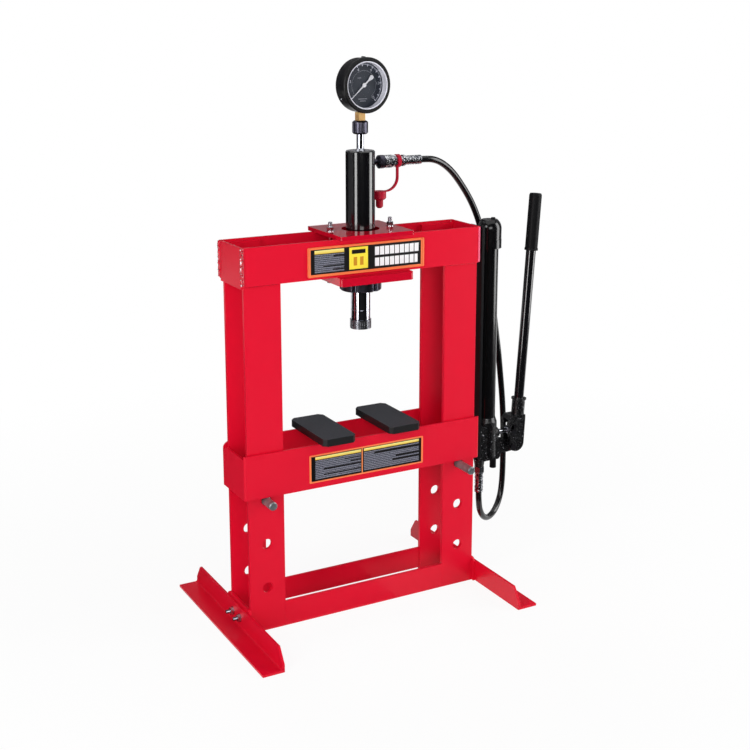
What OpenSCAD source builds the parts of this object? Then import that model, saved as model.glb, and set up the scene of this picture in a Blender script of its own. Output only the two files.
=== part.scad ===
// Bench hydraulic press. An H-frame of paired flat bars carries a collar beam,
// a sliding bed and a base on two angle-iron feet. A ten tonne ram with a
// pressure gauge hangs in the beam, and an upright hand pump feeds it by hose.
// Millimetres: X runs along the beam, Y to the back, Z up from the floor.
// Frame sizes count from the frame's centre line, which stands at frame_x.

/* [Frame] */
// Place of the frame's centre line, from the part's origin
frame_x = -72; // [-120:1:0]
// Width over the outer edges of the uprights
frame_w = 518; // [440:1:620]
// Depth over the front and back uprights
frame_d = 100; // [84:1:130]
// Width of one upright bar
bar_w = 76; // [60:1:90]
// Thickness of one upright bar
bar_t = 8; // [5:0.5:12]
// Height of the top hole row
hole_top = 274; // [200:1:330]
// Distance between two hole rows
hole_pitch = 92; // [60:1:100]
// Radius of a pin hole
hole_r = 10.5; // [9:0.5:14]

/* [Beam] */
// Height of the beam's underside from the floor
beam_z = 702; // [620:1:800]
// Height of the beam's plates
beam_h = 74; // [60:1:100]
// Thickness of the plates of beam and bed
plate_t = 5; // [4:0.5:8]
// How far the uprights end below the beam's top
bar_drop = 4; // [2:1:12]
// How far the beam's left end plate reaches below the others
end_drop = 5; // [0:1:10]

/* [Bed] */
// Height of the bed's side plates
bed_h = 89.5; // [70:0.5:110]
// How much lower the bed's end plates are
bed_end_drop = 7; // [0:1:20]
// Play between the bed and the uprights, front and back
bed_play = 1; // [0.5:0.25:2]
// Play between the bed and the uprights, left and right
bed_end_play = 4; // [2:0.5:6]
// Radius of a bed pin
pin_r = 8.5; // [7:0.5:8.5]
// Length of a bed pin
pin_len = 160; // [155:1:200]
// How far the left bed pin stands out in front
pin_front_left = 35; // [20:1:50]
// How far the right bed pin stands out in front
pin_front_right = 53; // [20:1:54]
// Width of an arbor plate
arbor_w = 72; // [50:1:90]
// Depth of an arbor plate
arbor_d = 158; // [120:1:200]
// Thickness of an arbor plate
arbor_t = 15; // [8:1:20]
// Gap between the two arbor plates
arbor_gap = 80; // [60:1:100]
// Middle of the gap, from the frame's centre line
arbor_x = 5; // [0:1:10]

/* [Base] */
// Height of the base's front plate
base_h = 52; // [40:1:70]
// Height of the base's back plate
base_back_h = 46; // [30:1:60]
// How far the back plate is raised
base_back_z = 8; // [0:1:20]
// Thickness of the base's side plates
base_t = 6; // [4:0.5:8]
// How far the base's end plates stand out, front and back
base_lip = 7; // [0:1:12]
// Leg width of a foot's angle iron
foot_w = 45; // [35:1:60]
// Thickness of a foot's angle iron
foot_t = 5; // [4:0.5:8]
// Length of a foot
foot_len = 440; // [360:1:520]
// Length of the cut corner at a foot's ends
foot_cut = 20; // [10:1:30]
// Height left below the cut corner
foot_nose = 16; // [10:1:25]
// Distance between the two bolts of a foot
foot_bolt_gap = 36; // [26:1:60]
// Height of the foot bolts
foot_bolt_z = 23; // [20:1:28]

/* [Head] */
// Place of the ram, from the frame's centre line
ram_x = 15; // [-20:1:15]
// Width of the head plates
head_w = 162; // [140:1:180]
// Depth of the head plates
head_d = 148; // [120:1:170]
// Thickness of the top head plate
head_top_t = 8; // [5:0.5:12]
// Thickness of the bottom head plate
head_low_t = 16; // [10:1:22]
// Radius of the clearance hole in the top head plate
head_hole_r = 38; // [32:0.5:44]
// Radius of the corners of the head plates
head_corner = 7; // [3:0.5:12]
// Distance between the two tie bolts
tie_gap = 134; // [110:1:140]
// Radius of a tie bolt
tie_r = 4; // [3:0.5:6]
// Outer radius of the ram
ram_r = 29; // [26:0.5:34]
// Wall of the ram
ram_wall = 5.5; // [4.5:0.5:6.5]
// Length of the ram above the bottom head plate
ram_up = 236.5; // [215:0.5:260]
// Thickness of the ring nut
ring_h = 25; // [15:1:30]
// Outer radius of the ring nut
ring_r = 42; // [38:0.5:48]
// Radius of the piston rod
rod_r = 20; // [17:0.5:20]
// How far the rod stands out when drawn in
rod_out = 59; // [40:1:70]
// Travel of the ram
stroke = 130; // [100:1:130]
// Height of the saddle
saddle_h = 18; // [12:1:25]
// Radius of the saddle
saddle_r = 21.5; // [20.5:0.5:26]

/* [Gauge] */
// Radius of the gauge's case
gauge_r = 52; // [42:0.5:60]
// Depth of the gauge's case
gauge_depth = 36; // [28:1:44]
// How far the case reaches behind its stem
gauge_back = 9; // [8:0.5:12]
// Height of the gauge's centre above the ram
gauge_up = 126.5; // [118:0.5:150]
// Turn of the gauge's face towards the pump
gauge_turn = 5; // [-10:1:10]
// Angle of the needle at zero, clockwise from the top
needle_zero = 229; // [200:1:240]

/* [Pump] */
// Distance of the pump's axis from the beam's end
pump_out = 58; // [54:1:96]
// Height of the pump's underside from the floor
pump_z = 252; // [200:1:300]
// Radius of the pump's casting
cast_r = 24; // [22.5:0.5:30]
// Height of the casting
cast_h = 95; // [90:1:110]
// Radius of the reservoir tube
tank_r = 20; // [18:0.5:21.5]
// Wall of the reservoir tube
tank_wall = 2; // [1.5:0.25:3]
// Length of the reservoir tube that shows
tank_len = 372; // [300:1:420]
// Radius of the reservoir's cap
cap_r = 26; // [24:0.5:30]
// Height of the reservoir's cap
cap_h = 60; // [50:1:80]
// Height of the plunger above the casting's underside
plunger_up = 54; // [50:1:60]
// Radius of the plunger
plunger_r = 6; // [4:0.5:6.5]
// Distance of the handle's pivot from the pump's axis
pivot_out = 62; // [58:1:70]
// Distance of the handle's pivot below the plunger
pivot_drop = 35; // [30:1:38]
// Width of the pump's bracket
bracket_w = 50; // [30:1:60]
// Thickness of the pump's bracket
bracket_t = 6; // [4:0.5:8]

/* [Handle] */
// Lean of the handle, away from the pump
handle_lean = 3.9; // [2:0.1:6]
// Width of the handle's fork across its cheeks
fork_w = 34; // [30:1:40]
// Outer radius of the handle's pipe
pipe_r = 10.65; // [8:0.05:12]
// Length of the pipe
pipe_len = 485; // [380:1:560]
// Outer radius of the grip
grip_r = 13.5; // [13:0.5:17]
// Length of the grip
grip_len = 122; // [90:1:150]

/* [Hose] */
// Radius of the hose
hose_r = 6.75; // [6.75:0.25:7]
// Radius of the crimped ferrules
ferrule_r = 9.3; // [8.5:0.1:11]

/* [Hidden] */

$fn = 64;
fit = 0.05;          // radial clearance of a running fit
gap = 0.3;           // clearance between pieces that only come close

// Frame
half_w = frame_w / 2;
half_d = frame_d / 2;
hole_x = half_w - bar_w / 2;
beam_top = beam_z + beam_h;

// Bed pins lie on the bottoms of their holes, and the bed rests on the pins
pin_z = hole_top - hole_r + pin_r + fit;
bed_z = pin_z + pin_r + gap;
bed_top = bed_z + bed_h;
bed_half_d = half_d + bed_play;
bed_half_w = half_w + bed_end_play;

// Head
head_top_z = beam_top + head_top_t;
head_low_z = beam_z - head_low_t;
tie_flats = tie_r * 3.25;
barrel_z = head_low_z - ring_h - 2;
ram_top = beam_z + ram_up;
bore_r = ram_r - ram_wall;
rod_z = barrel_z - rod_out;
gland_h = 36;
ram_lid = 18;
piston_h = 20;
piston_z = barrel_z + gland_h + stroke + gap;
rod_top = piston_z + piston_h;
rod_bore_r = 13;
saddle_spigot = 12;

// Gauge
gauge_z = ram_top + gauge_up;
gauge_front = gauge_back - gauge_depth;
adapter_h = 32;
gauge_nut_h = 26;
nut_z = ram_top + adapter_h;
stem_z = nut_z + gauge_nut_h;
dial_open = gauge_r - 6;
dial_r = gauge_r - 12;
case_front = gauge_front + 6;
lens_front = gauge_front + 1.6;
lens_t = 2.7;
dial_ring_y = lens_front + lens_t + 0.2;
dial_y = dial_ring_y + 9;
needle_y = dial_y - 2;

// Pump, and the flat bar that stands clear of its cap
pump_x = half_w + plate_t + pump_out;
plunger_z = pump_z + plunger_up;
pivot = [pump_x + pivot_out, plunger_z - pivot_drop];
crank = [pump_x + pivot_out, plunger_z];
cast_top = pump_z + cast_h;
tank_top = cast_top + tank_len;
pad_x = pump_x - cap_r - 2;
bracket_x = pad_x - bracket_t;
pad_w = 44;
bolt_r = 4;
bolt_hole_r = 4.3;
bracket_bolt_z = [beam_z + beam_h / 2 - 18, beam_z + beam_h / 2 + 18];
pad_screw_z = [pump_z + 28, pump_z + 64];
outlet_x = pump_x - 15;
knob_x = pump_x + 21;
tongue_w = 15;
cheek_gap = 17;
pin_hole_r = 5;
crank_pin_r = 4;
crank_slot_r = crank_pin_r + 1.5;
crank_slot = 10;

// Handle: the socket's axis leans about a point beside the pivot
socket_x = pivot[0] + 17;
fork_top = pivot[1] + 70;
fork_out = 28;
fork_in = 9;
lobe_r = (fork_out + fork_in) / 2;
socket_r = pipe_r + 3.8;
socket_len = 106;
pipe_start = 68;

// Ram port, coupler and hose ends
port_z = ram_top - 25;
port_x = ram_x + ram_r;
sleeve_x = port_x + 22.5;
half_x = sleeve_x + 18.6;
ferrule_x = half_x + 28.4;
ferrule_len = 38;
outlet_z = pump_z - 16;
pump_ferrule_len = 45;

// The hose's centre line from the ram's ferrule to the pump's ferrule
hose_route = [
  [151.5, 0, 913.5], [163, 0, 913.5], [180, 1, 912.5], [198, 4, 907], [217, 9, 897], [239, 14, 880],
  [260, 20, 858], [279, 26, 836], [296, 32, 814], [311, 37, 790], [324, 42, 765],
  [335, 46, 738], [345, 49, 710], [353, 52, 680], [361, 54, 645], [367, 55, 610],
  [373, 56, 575], [379, 57, 540], [385, 58, 505], [391, 58, 470], [396, 59, 435],
  [401, 60, 400], [405, 60, 365], [408, 60, 330], [410, 60, 295], [411, 60, 260],
  [411, 60, 225], [411, 60, 190], [409, 59, 160], [404, 56, 136], [393, 50, 116],
  [377, 41, 103], [358, 30, 98], [339, 19, 102], [323, 9, 115], [312, 3, 134],
  [308, 0, 154], [307, 0, 166], [307, 0, 177]
];

// ---- shared shapes ----

module at_frame() {
  translate([frame_x, 0, 0]) children();
}

module both_sides() {
  children();
  mirror([1, 0, 0]) children();
}

module block(low, high) {
  translate(low) cube(high - low);
}

module ring(r_out, r_in, h) {
  difference() {
    cylinder(r = r_out, h = h);
    translate([0, 0, -1]) cylinder(r = r_in, h = h + 2);
  }
}

// A nut or bolt head whose corners are turned off at both ends
module hexagon(across_flats, h) {
  corner = across_flats / sqrt(3);
  turned = across_flats * 0.48;
  cut = (corner - turned) * 0.55;
  intersection() {
    cylinder(r = corner, h = h, $fn = 6);
    union() {
      cylinder(r1 = turned, r2 = corner, h = cut);
      translate([0, 0, cut]) cylinder(r = corner + 1, h = h - 2 * cut);
      translate([0, 0, h - cut]) cylinder(r1 = corner, r2 = turned, h = cut);
    }
  }
}

// A plate standing on z = 0 about the origin, with four rounded corners
module rounded_plate(w, d, t, r) {
  linear_extrude(height = t) {
    square([w - 2 * r, d], center = true);
    square([w, d - 2 * r], center = true);
    for (x = [-w / 2 + r, w / 2 - r], y = [-d / 2 + r, d / 2 - r]) translate([x, y]) circle(r = r);
  }
}

module along_x() {
  rotate([0, 90, 0]) children();
}

module along_y() {
  rotate([-90, 0, 0]) children();
}

// An XZ outline given depth about the plane y = 0
module profile_y(depth) {
  rotate([90, 0, 0]) linear_extrude(height = depth, center = true) children();
}

function unit(v) = v / norm(v);
function tangent(path, i) =
  unit(path[min(i + 1, len(path) - 1)] - path[max(i - 1, 0)]);
function ring_points(centre, t, side, r, sides) = [
  for (k = [0:sides - 1])
    let (n = unit(cross(t, side)), b = cross(t, n), a = 360 * k / sides)
    centre + r * (cos(a) * n + sin(a) * b)
];

// A round tube through the points of a path, closed at both ends
module sweep(path, r, sides, side) {
  n = len(path);
  points = [for (i = [0:n - 1]) each ring_points(path[i], tangent(path, i), side, r, sides)];
  walls = [
    for (i = [0:n - 2], k = [0:sides - 1])
      let (a = i * sides + k, b = i * sides + (k + 1) % sides)
      each [[a, b, b + sides], [a, b + sides, a + sides]]
  ];
  first = [for (k = [0:sides - 1]) sides - 1 - k];
  last = [for (k = [0:sides - 1]) (n - 1) * sides + k];
  polyhedron(points, concat(walls, [first, last]));
}

// ---- frame ----

module upright(side, face) {
  x0 = side < 0 ? -half_w : half_w - bar_w;
  y0 = face < 0 ? -half_d : half_d - bar_t;
  color("crimson") at_frame() difference() {
    block([x0, y0, 0], [x0 + bar_w, y0 + bar_t, beam_top - bar_drop]);
    for (row = [0:2])
      translate([side * hole_x, y0 - 1, hole_top - row * hole_pitch])
        along_y() cylinder(r = hole_r, h = bar_t + 2);
  }
}

// Side plates with square left ends and rounded right ends
module beam_side_plates() {
  color("crimson") at_frame() for (face = [0, 1]) mirror([0, face, 0])
    translate([0, 0, beam_z]) linear_extrude(height = beam_h) {
      translate([-half_w - plate_t, half_d]) square([2 * half_w + plate_t, plate_t]);
      intersection() {
        translate([half_w, half_d]) circle(r = plate_t);
        translate([half_w, half_d]) square(plate_t);
      }
    }
}

module beam_end_plates() {
  color("crimson") at_frame() {
    block([-half_w - plate_t, -half_d, beam_z - end_drop], [-half_w, half_d, beam_top]);
    difference() {
      block([half_w, -half_d, beam_z], [half_w + plate_t, half_d, beam_top]);
      for (z = bracket_bolt_z)
        translate([half_w - 1, 0, z]) along_x() cylinder(r = bolt_hole_r, h = plate_t + 2);
    }
  }
}

module base_side_plates() {
  half = half_w - bar_w;
  color("crimson") at_frame() {
    block([-half, -half_d, 0], [half, -half_d + base_t, base_h]);
    block([-half, half_d - base_t, base_back_z], [half, half_d, base_back_z + base_back_h]);
  }
}

// An upright rectangle about x = 0 whose two top corners are rounded
module tombstone(w, h, r) {
  translate([-w / 2, 0]) square([w, h - r]);
  translate([-w / 2 + r, h - r]) square([w - 2 * r, r]);
  for (x = [-w / 2 + r, w / 2 - r]) translate([x, h - r]) circle(r = r);
}

module foot_bolt_places() {
  for (y = [-foot_bolt_gap / 2, foot_bolt_gap / 2]) translate([0, y, foot_bolt_z]) children();
}

module base_end_plates() {
  color("crimson") at_frame() both_sides() difference() {
    translate([half_w, 0, 0]) rotate([90, 0, 90])
      linear_extrude(height = plate_t) tombstone(frame_d + 2 * base_lip, base_h, 12);
    foot_bolt_places()
      translate([half_w - 1, 0, 0]) along_x() cylinder(r = bolt_hole_r, h = plate_t + 2);
  }
}

// The right foot: an angle iron whose upright leg has cut ends
module foot() {
  x0 = half_w + plate_t;
  fillet = 4;
  half = foot_len / 2;
  difference() {
    rotate([90, 0, 0]) linear_extrude(height = foot_len, center = true) difference() {
      union() {
        translate([x0, 0]) square([foot_w, foot_t]);
        translate([x0, 0]) square([foot_t, foot_w]);
        translate([x0 + foot_t, foot_t]) square(fillet);
      }
      translate([x0 + foot_t + fillet, foot_t + fillet]) circle(r = fillet);
    }
    for (end = [-1, 1]) rotate([90, 0, 90]) translate([0, 0, x0 - 1])
      linear_extrude(height = foot_t + fillet + 2) polygon([
        [end * (half - foot_cut), foot_w + 1], [end * (half - foot_cut), foot_w],
        [end * half, foot_nose], [end * (half + 1), foot_nose], [end * (half + 1), foot_w + 1]
      ]);
    foot_bolt_places()
      translate([x0 - 1, 0, 0]) along_x() cylinder(r = bolt_hole_r, h = foot_t + 2);
  }
}

module foot_left() {
  color("crimson") at_frame() mirror([1, 0, 0]) foot();
}

module foot_right() {
  color("crimson") at_frame() foot();
}

// A hex bolt along +X from the underside of its head, with a washer under the head
module hex_bolt(length, shank_r, flats) {
  along_x() {
    translate([0, 0, -shank_r * 1.25 - 2]) hexagon(flats, shank_r * 1.25);
    translate([0, 0, -2]) cylinder(r = flats * 0.62, h = 2);
    translate([0, 0, -3]) cylinder(r = shank_r, h = length + 3);
  }
}

// Two bolts with nuts on each side
module foot_fasteners() {
  grip = foot_t + plate_t;
  color("silver") at_frame() both_sides() foot_bolt_places() {
    translate([half_w + grip, 0, 0]) mirror([1, 0, 0]) hex_bolt(grip + 12, bolt_r, 14);
    translate([half_w - 8, 0, 0]) along_x() difference() {
      hexagon(14, 8);
      translate([0, 0, -1]) cylinder(r = bolt_r + fit, h = 10);
    }
  }
}

// ---- head and ram ----

module head_top_plate() {
  color("firebrick") at_frame() translate([ram_x, 0, beam_top]) difference() {
    rounded_plate(head_w, head_d, head_top_t, head_corner / 2);
    translate([0, 0, -1]) cylinder(r = head_hole_r, h = head_top_t + 2, $fn = 96);
    tie_places() translate([0, 0, -1]) cylinder(r = tie_r + 0.5, h = head_top_t + 2);
  }
}

module head_bottom_plate() {
  color("firebrick") at_frame() translate([ram_x, 0, head_low_z]) difference() {
    rounded_plate(head_w, head_d, head_low_t, head_corner);
    translate([0, 0, -1]) cylinder(r = ram_r + fit, h = head_low_t + 2, $fn = 96);
    tie_places() translate([0, 0, -1]) cylinder(r = tie_r + 0.5, h = head_low_t + 2);
  }
}

module tie_places() {
  for (x = [-tie_gap / 2, tie_gap / 2]) translate([x, 0, 0]) children();
}

// Two long bolts through beam and head plates, each with a washer and a nut on top
module tie_fasteners() {
  head = tie_r * 1.35;
  nut = tie_r * 1.7;
  washer = 1.6;
  reach = head_top_z - head_low_z + 18;
  color("silver") at_frame() translate([ram_x, 0, head_low_z]) tie_places() {
    translate([0, 0, -head]) hexagon(tie_flats, head);
    translate([0, 0, -1]) cylinder(r = tie_r, h = reach);
    translate([0, 0, reach - 1]) cylinder(r1 = tie_r, r2 = tie_r - 1, h = 1);
    translate([0, 0, head_top_z - head_low_z]) difference() {
      union() {
        cylinder(r = tie_r * 2, h = washer);
        translate([0, 0, washer]) hexagon(tie_flats, nut);
      }
      translate([0, 0, -1]) cylinder(r = tie_r + fit, h = washer + nut + 2);
    }
  }
}

module at_ram() {
  at_frame() translate([ram_x, 0, 0]) children();
}

module ram_barrel() {
  color("black") at_ram() difference() {
    union() {
      translate([0, 0, barrel_z]) cylinder(r = ram_r, h = ram_top - barrel_z - 2, $fn = 96);
      translate([0, 0, ram_top - 2]) cylinder(r1 = ram_r, r2 = ram_r - 2, h = 2, $fn = 96);
    }
    translate([0, 0, barrel_z - 1])
      cylinder(r = bore_r, h = ram_top - ram_lid - barrel_z + 1, $fn = 96);
    // Gauge port through the lid, and the oil port in the side
    translate([0, 0, ram_top - ram_lid - 1]) cylinder(r = 5, h = ram_lid + 2);
    translate([0, 0, port_z]) along_x() cylinder(r = 5, h = ram_r + 1);
  }
}

module ring_nut() {
  slots = 6;
  slot_r = 5.5;
  color("dimgray") at_ram() translate([0, 0, head_low_z - ring_h]) difference() {
    union() {
      translate([0, 0, 2]) cylinder(r = ring_r, h = ring_h - 2, $fn = 96);
      cylinder(r1 = ring_r - 2, r2 = ring_r, h = 2, $fn = 96);
    }
    translate([0, 0, -1]) cylinder(r = ram_r + fit, h = ring_h + 2, $fn = 96);
    for (k = [0:slots - 1]) rotate([0, 0, 360 * k / slots - 14])
      translate([ring_r - 0.5, 0, -1]) cylinder(r = slot_r, h = ring_h + 2, $fn = 32);
  }
}

// Gland screwed into the foot of the barrel; it guides the rod
module ram_gland() {
  color("gray") at_ram() translate([0, 0, barrel_z]) difference() {
    cylinder(r = bore_r - fit, h = gland_h, $fn = 96);
    translate([0, 0, -1]) cylinder(r = rod_r + fit, h = gland_h + 2, $fn = 96);
    translate([0, 0, 4]) cylinder(r = rod_r + 1.2, h = 4, $fn = 96);
  }
}

// Hollow rod in one piece with the piston; the return spring lies in its bore
module piston_rod() {
  color("gainsboro") at_ram() difference() {
    union() {
      translate([0, 0, rod_z + 1]) cylinder(r = rod_r, h = rod_top - rod_z - 1, $fn = 96);
      translate([0, 0, rod_z]) cylinder(r1 = rod_r - 1, r2 = rod_r, h = 1, $fn = 96);
      translate([0, 0, piston_z]) cylinder(r = bore_r - fit, h = piston_h, $fn = 96);
    }
    translate([0, 0, rod_z + 40]) cylinder(r = rod_bore_r, h = rod_top - rod_z, $fn = 48);
    translate([0, 0, rod_z - 1]) cylinder(r = 8, h = saddle_spigot + 2);
    // Groove near the nose, and the seat of the saddle's set screw
    translate([0, 0, rod_z + 20]) ring(rod_r + 1, rod_r - 1, 2);
    rotate([0, 0, -25]) translate([6, 0, rod_z + 7]) along_x() cylinder(r = 2.5, h = rod_r);
    // Seat of the seal
    translate([0, 0, piston_z + 7]) ring(bore_r + 1, bore_r - 3.5, 6);
  }
}

module piston_seal() {
  color("darkslategray") at_ram() translate([0, 0, piston_z + 7 + gap / 2])
    ring(bore_r - fit, bore_r - 3.4, 6 - gap);
}

module return_spring() {
  turns = 16;
  steps = 10;
  top = ram_top - ram_lid - gap;
  low = rod_z + 40 + 2;
  wire = 1.4;
  coil = 9;
  path = [
    for (i = [0:turns * steps])
      let (a = 360 * i / steps, z = low + wire + (top - low - 2 * wire) * i / (turns * steps))
      [coil * cos(a), coil * sin(a), z]
  ];
  color("silver") at_ram() sweep(path, wire, 6, [0, 0, 1]);
}

module saddle() {
  teeth = 30;
  color("lightgray") at_ram() translate([0, 0, rod_z - saddle_h]) {
    difference() {
      cylinder(r = saddle_r, h = saddle_h, $fn = 96);
      for (k = [0:teeth - 1]) rotate([0, 0, 360 * k / teeth])
        translate([saddle_r, 0, 2]) cylinder(r = 0.9, h = saddle_h - 5, $fn = 16);
      translate([0, 0, -1]) ring(13, 12, 2);
    }
    translate([0, 0, saddle_h - 1]) cylinder(r = 7.9, h = saddle_spigot + 1);
  }
}

module saddle_screw() {
  color("gray") at_ram() translate([0, 0, rod_z + 7]) rotate([0, 0, -25]) along_x() difference() {
    translate([0, 0, 8]) cylinder(r = 2.45, h = rod_r - 8.5);
    translate([0, 0, rod_r - 2.5]) cylinder(r = 1.3, h = 3, $fn = 6);
  }
}

// ---- gauge ----

// The gauge's middle, with the turn of its face
module at_gauge() {
  at_ram() translate([0, 0, gauge_z]) rotate([0, 0, gauge_turn]) children();
}

module gauge_adapter() {
  color("silver") at_ram() difference() {
    union() {
      translate([0, 0, ram_top]) cylinder(r1 = 10.5, r2 = 7.25, h = 4);
      translate([0, 0, ram_top + 4]) cylinder(r = 7.25, h = adapter_h - 4);
      translate([0, 0, ram_top - 14]) cylinder(r = 4.95, h = 15);
    }
    translate([0, 0, ram_top - 15]) cylinder(r = 2, h = adapter_h + 16);
  }
}

module gauge_nut() {
  flutes = 12;
  color("darkslategray") at_ram() translate([0, 0, nut_z]) difference() {
    union() {
      translate([0, 0, 3]) cylinder(r = 15.6, h = gauge_nut_h - 6);
      cylinder(r1 = 13, r2 = 15.6, h = 3);
      translate([0, 0, gauge_nut_h - 3]) cylinder(r1 = 15.6, r2 = 12, h = 3);
    }
    for (k = [0:flutes - 1]) rotate([0, 0, 360 * k / flutes])
      translate([16.4, 0, 4]) cylinder(r = 2.4, h = gauge_nut_h - 8, $fn = 24);
    translate([0, 0, -1]) cylinder(r = 2, h = gauge_nut_h + 2);
  }
}

module gauge_stem() {
  w = 14.5;
  color("goldenrod") at_ram() rotate([0, 0, gauge_turn]) difference() {
    union() {
      translate([-w / 2, -w / 2, stem_z]) cube([w, w, gauge_z - gauge_r - stem_z]);
      translate([0, 0, stem_z + 1]) cylinder(r = 5.5, h = gauge_z - gauge_r + 9 - stem_z);
    }
    translate([0, 0, stem_z - 1]) cylinder(r = 2, h = gauge_z - gauge_r - stem_z + 5);
  }
}

module gauge_case() {
  wall = 2.5;
  edge = 3;
  depth = gauge_back - case_front;
  color("#202224") at_gauge() difference() {
    translate([0, case_front, 0]) along_y() {
      cylinder(r = gauge_r, h = depth - edge, $fn = 96);
      translate([0, 0, depth - edge])
        cylinder(r1 = gauge_r, r2 = gauge_r - edge, h = edge, $fn = 96);
    }
    translate([0, case_front - 1, 0]) along_y()
      cylinder(r = gauge_r - wall, h = depth + 1 - wall, $fn = 96);
    translate([0, 0, -gauge_r - 2]) cylinder(r = 5.6, h = 8);
    rotate([0, 6, 0]) translate([0, -4, gauge_r - 5]) cylinder(r = 4, h = 10);
  }
}

module gauge_bezel() {
  lip = 1.5;
  color("#17181a") at_gauge() translate([0, gauge_front, 0]) along_y() difference() {
    union() {
      translate([0, 0, lip]) cylinder(r = gauge_r + lip, h = 9 - lip, $fn = 96);
      cylinder(r1 = gauge_r, r2 = gauge_r + lip, h = lip, $fn = 96);
    }
    translate([0, 0, -1]) cylinder(r = dial_open, h = 12, $fn = 96);
    translate([0, 0, lip]) cylinder(r = gauge_r - 3, h = case_front - gauge_front, $fn = 96);
    translate([0, 0, case_front - gauge_front]) cylinder(r = gauge_r + 0.02, h = 4, $fn = 96);
  }
}

module gauge_lens() {
  color("lightblue", 0.35) at_gauge() translate([0, lens_front, 0])
    along_y() cylinder(r = gauge_r - 3.1, h = lens_t, $fn = 96);
}

module gauge_dial() {
  color("#16181a") at_gauge() translate([0, dial_y, 0]) along_y() difference() {
    cylinder(r = gauge_r - 2.6, h = 1.2, $fn = 96);
    translate([0, 0, -1]) cylinder(r = 1.5 + fit, h = 4, $fn = 32);
  }
}

// Light ring between lens and dial, coned towards the dial
module dial_ring() {
  depth = dial_y - dial_ring_y;
  color("lightgray") at_gauge() translate([0, dial_ring_y, 0]) along_y() difference() {
    cylinder(r = gauge_r - 3.2, h = depth, $fn = 96);
    cylinder(r1 = dial_open, r2 = dial_r, h = depth, $fn = 96);
    translate([0, 0, -1]) cylinder(r = dial_open, h = 1.01, $fn = 96);
    translate([0, 0, depth - 0.01]) cylinder(r = dial_r, h = 1, $fn = 96);
  }
}

// Needle with a hub, a slim point and a fan-shaped tail, drawn pointing up
module gauge_needle() {
  point = dial_r - 2;
  tail = 19;
  color("white") at_gauge() translate([0, needle_y, 0]) along_y()
    rotate([0, 0, needle_zero]) {
      linear_extrude(height = 0.8) {
        polygon([[-1.5, 0], [-0.4, -point], [0.4, -point], [1.5, 0]]);
        polygon([
          [-1.2, 0], [1.2, 0], [1.6, tail * 0.4], [4.2, tail], [-4.2, tail], [-1.6, tail * 0.4]
        ]);
        circle(r = 3.4);
      }
      translate([0, 0, -0.4]) cylinder(r = 2.2, h = 1);
      cylinder(r = 1.5, h = 4, $fn = 32);
    }
}

module gauge_plug() {
  color("#2c2e30") at_gauge() rotate([0, 6, 0])
    translate([0, -4, gauge_r - 3]) {
      cylinder(r = 3.9, h = 4);
      translate([0, 0, 3.4]) cylinder(r1 = 5, r2 = 3.6, h = 2.2);
    }
}

// ---- quick coupler ----

module at_port() {
  at_frame() translate([port_x, 0, port_z]) along_x() children();
}

module coupler_nipple() {
  color("#3a3c40") at_port() difference() {
    union() {
      translate([0, 0, -5.4]) cylinder(r = 4.95, h = 8);
      cylinder(r = 5.8, h = 10);
      translate([0, 0, 9]) cylinder(r1 = 9, r2 = 13.4, h = 3);
      translate([0, 0, 12]) cylinder(r = 13.4, h = 9);
      translate([0, 0, 20]) cylinder(r = 9, h = 15);
    }
    translate([0, 0, -6]) cylinder(r = 2, h = 50);
  }
}

module coupler_sleeve() {
  knurls = 28;
  r = 12.9;
  color("darkgray") at_port() translate([0, 0, sleeve_x - port_x]) difference() {
    ring(r, 9 + gap, 17.8);
    for (k = [0:knurls - 1]) rotate([0, 0, 360 * k / knurls])
      translate([r + 0.25, 0, 2.5]) cylinder(r = 0.8, h = 12.8, $fn = 16);
    translate([0, 0, 14]) cylinder(r = 9.8 + gap, h = 5);
  }
}

module coupler_half() {
  color("silver") at_port() translate([0, 0, half_x - port_x]) difference() {
    union() {
      translate([0, 0, -4]) cylinder(r = 9.8, h = 5);
      hexagon(21, 9);
      translate([0, 0, 8]) cylinder(r = 9, h = 17);
      translate([0, 0, 24]) cylinder(r = 11.5, h = 4.4);
    }
    translate([0, 0, -6]) cylinder(r = 2, h = 40);
  }
}

// Moulded in one piece: the ring on the coupler, the strap and the cap
module dust_cap() {
  ring_x = half_x + 10;
  ring_w = 7;
  bend = 27;
  strap_w = 8;
  strap_t = 2.5;
  bend_z = port_z - 32;
  bend_x = ring_x + ring_w / 2 - bend;
  cap_x = bend_x - 13.5;
  cap_z = bend_z - bend;
  color("#b01028") at_frame() {
    translate([ring_x, 0, port_z]) along_x() ring(13.2, 9 + fit, ring_w);
    block([bend_x + bend - strap_t / 2, -strap_w / 2, bend_z],
          [bend_x + bend + strap_t / 2, strap_w / 2, port_z - 11]);
    translate([bend_x, 0, bend_z]) rotate([90, 0, 0]) rotate([0, 0, -90])
      rotate_extrude(angle = 90)
        translate([bend - strap_t / 2, -strap_w / 2]) square([strap_t, strap_w]);
    translate([cap_x, -strap_w / 2, cap_z - strap_t / 2]) cube([bend_x - cap_x, strap_w, strap_t]);
    translate([cap_x, 0, cap_z - 15]) difference() {
      union() {
        translate([0, 0, 2]) cylinder(r = 13.4, h = 14);
        translate([0, 0, -14.5]) cylinder(r = 7.4, h = 15.5);
        translate([0, 0, -18]) cylinder(r1 = 4, r2 = 7.4, h = 3.5);
        translate([0, 0, -1]) cylinder(r1 = 10, r2 = 13.4, h = 3);
      }
      translate([0, 0, -15]) cylinder(r = 5, h = 26);
    }
  }
}

// ---- hose ----

module hose() {
  color("#1a1a1c") at_frame() sweep(hose_route, hose_r, 10, [-0.4, 0.9, 0]);
}

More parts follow.
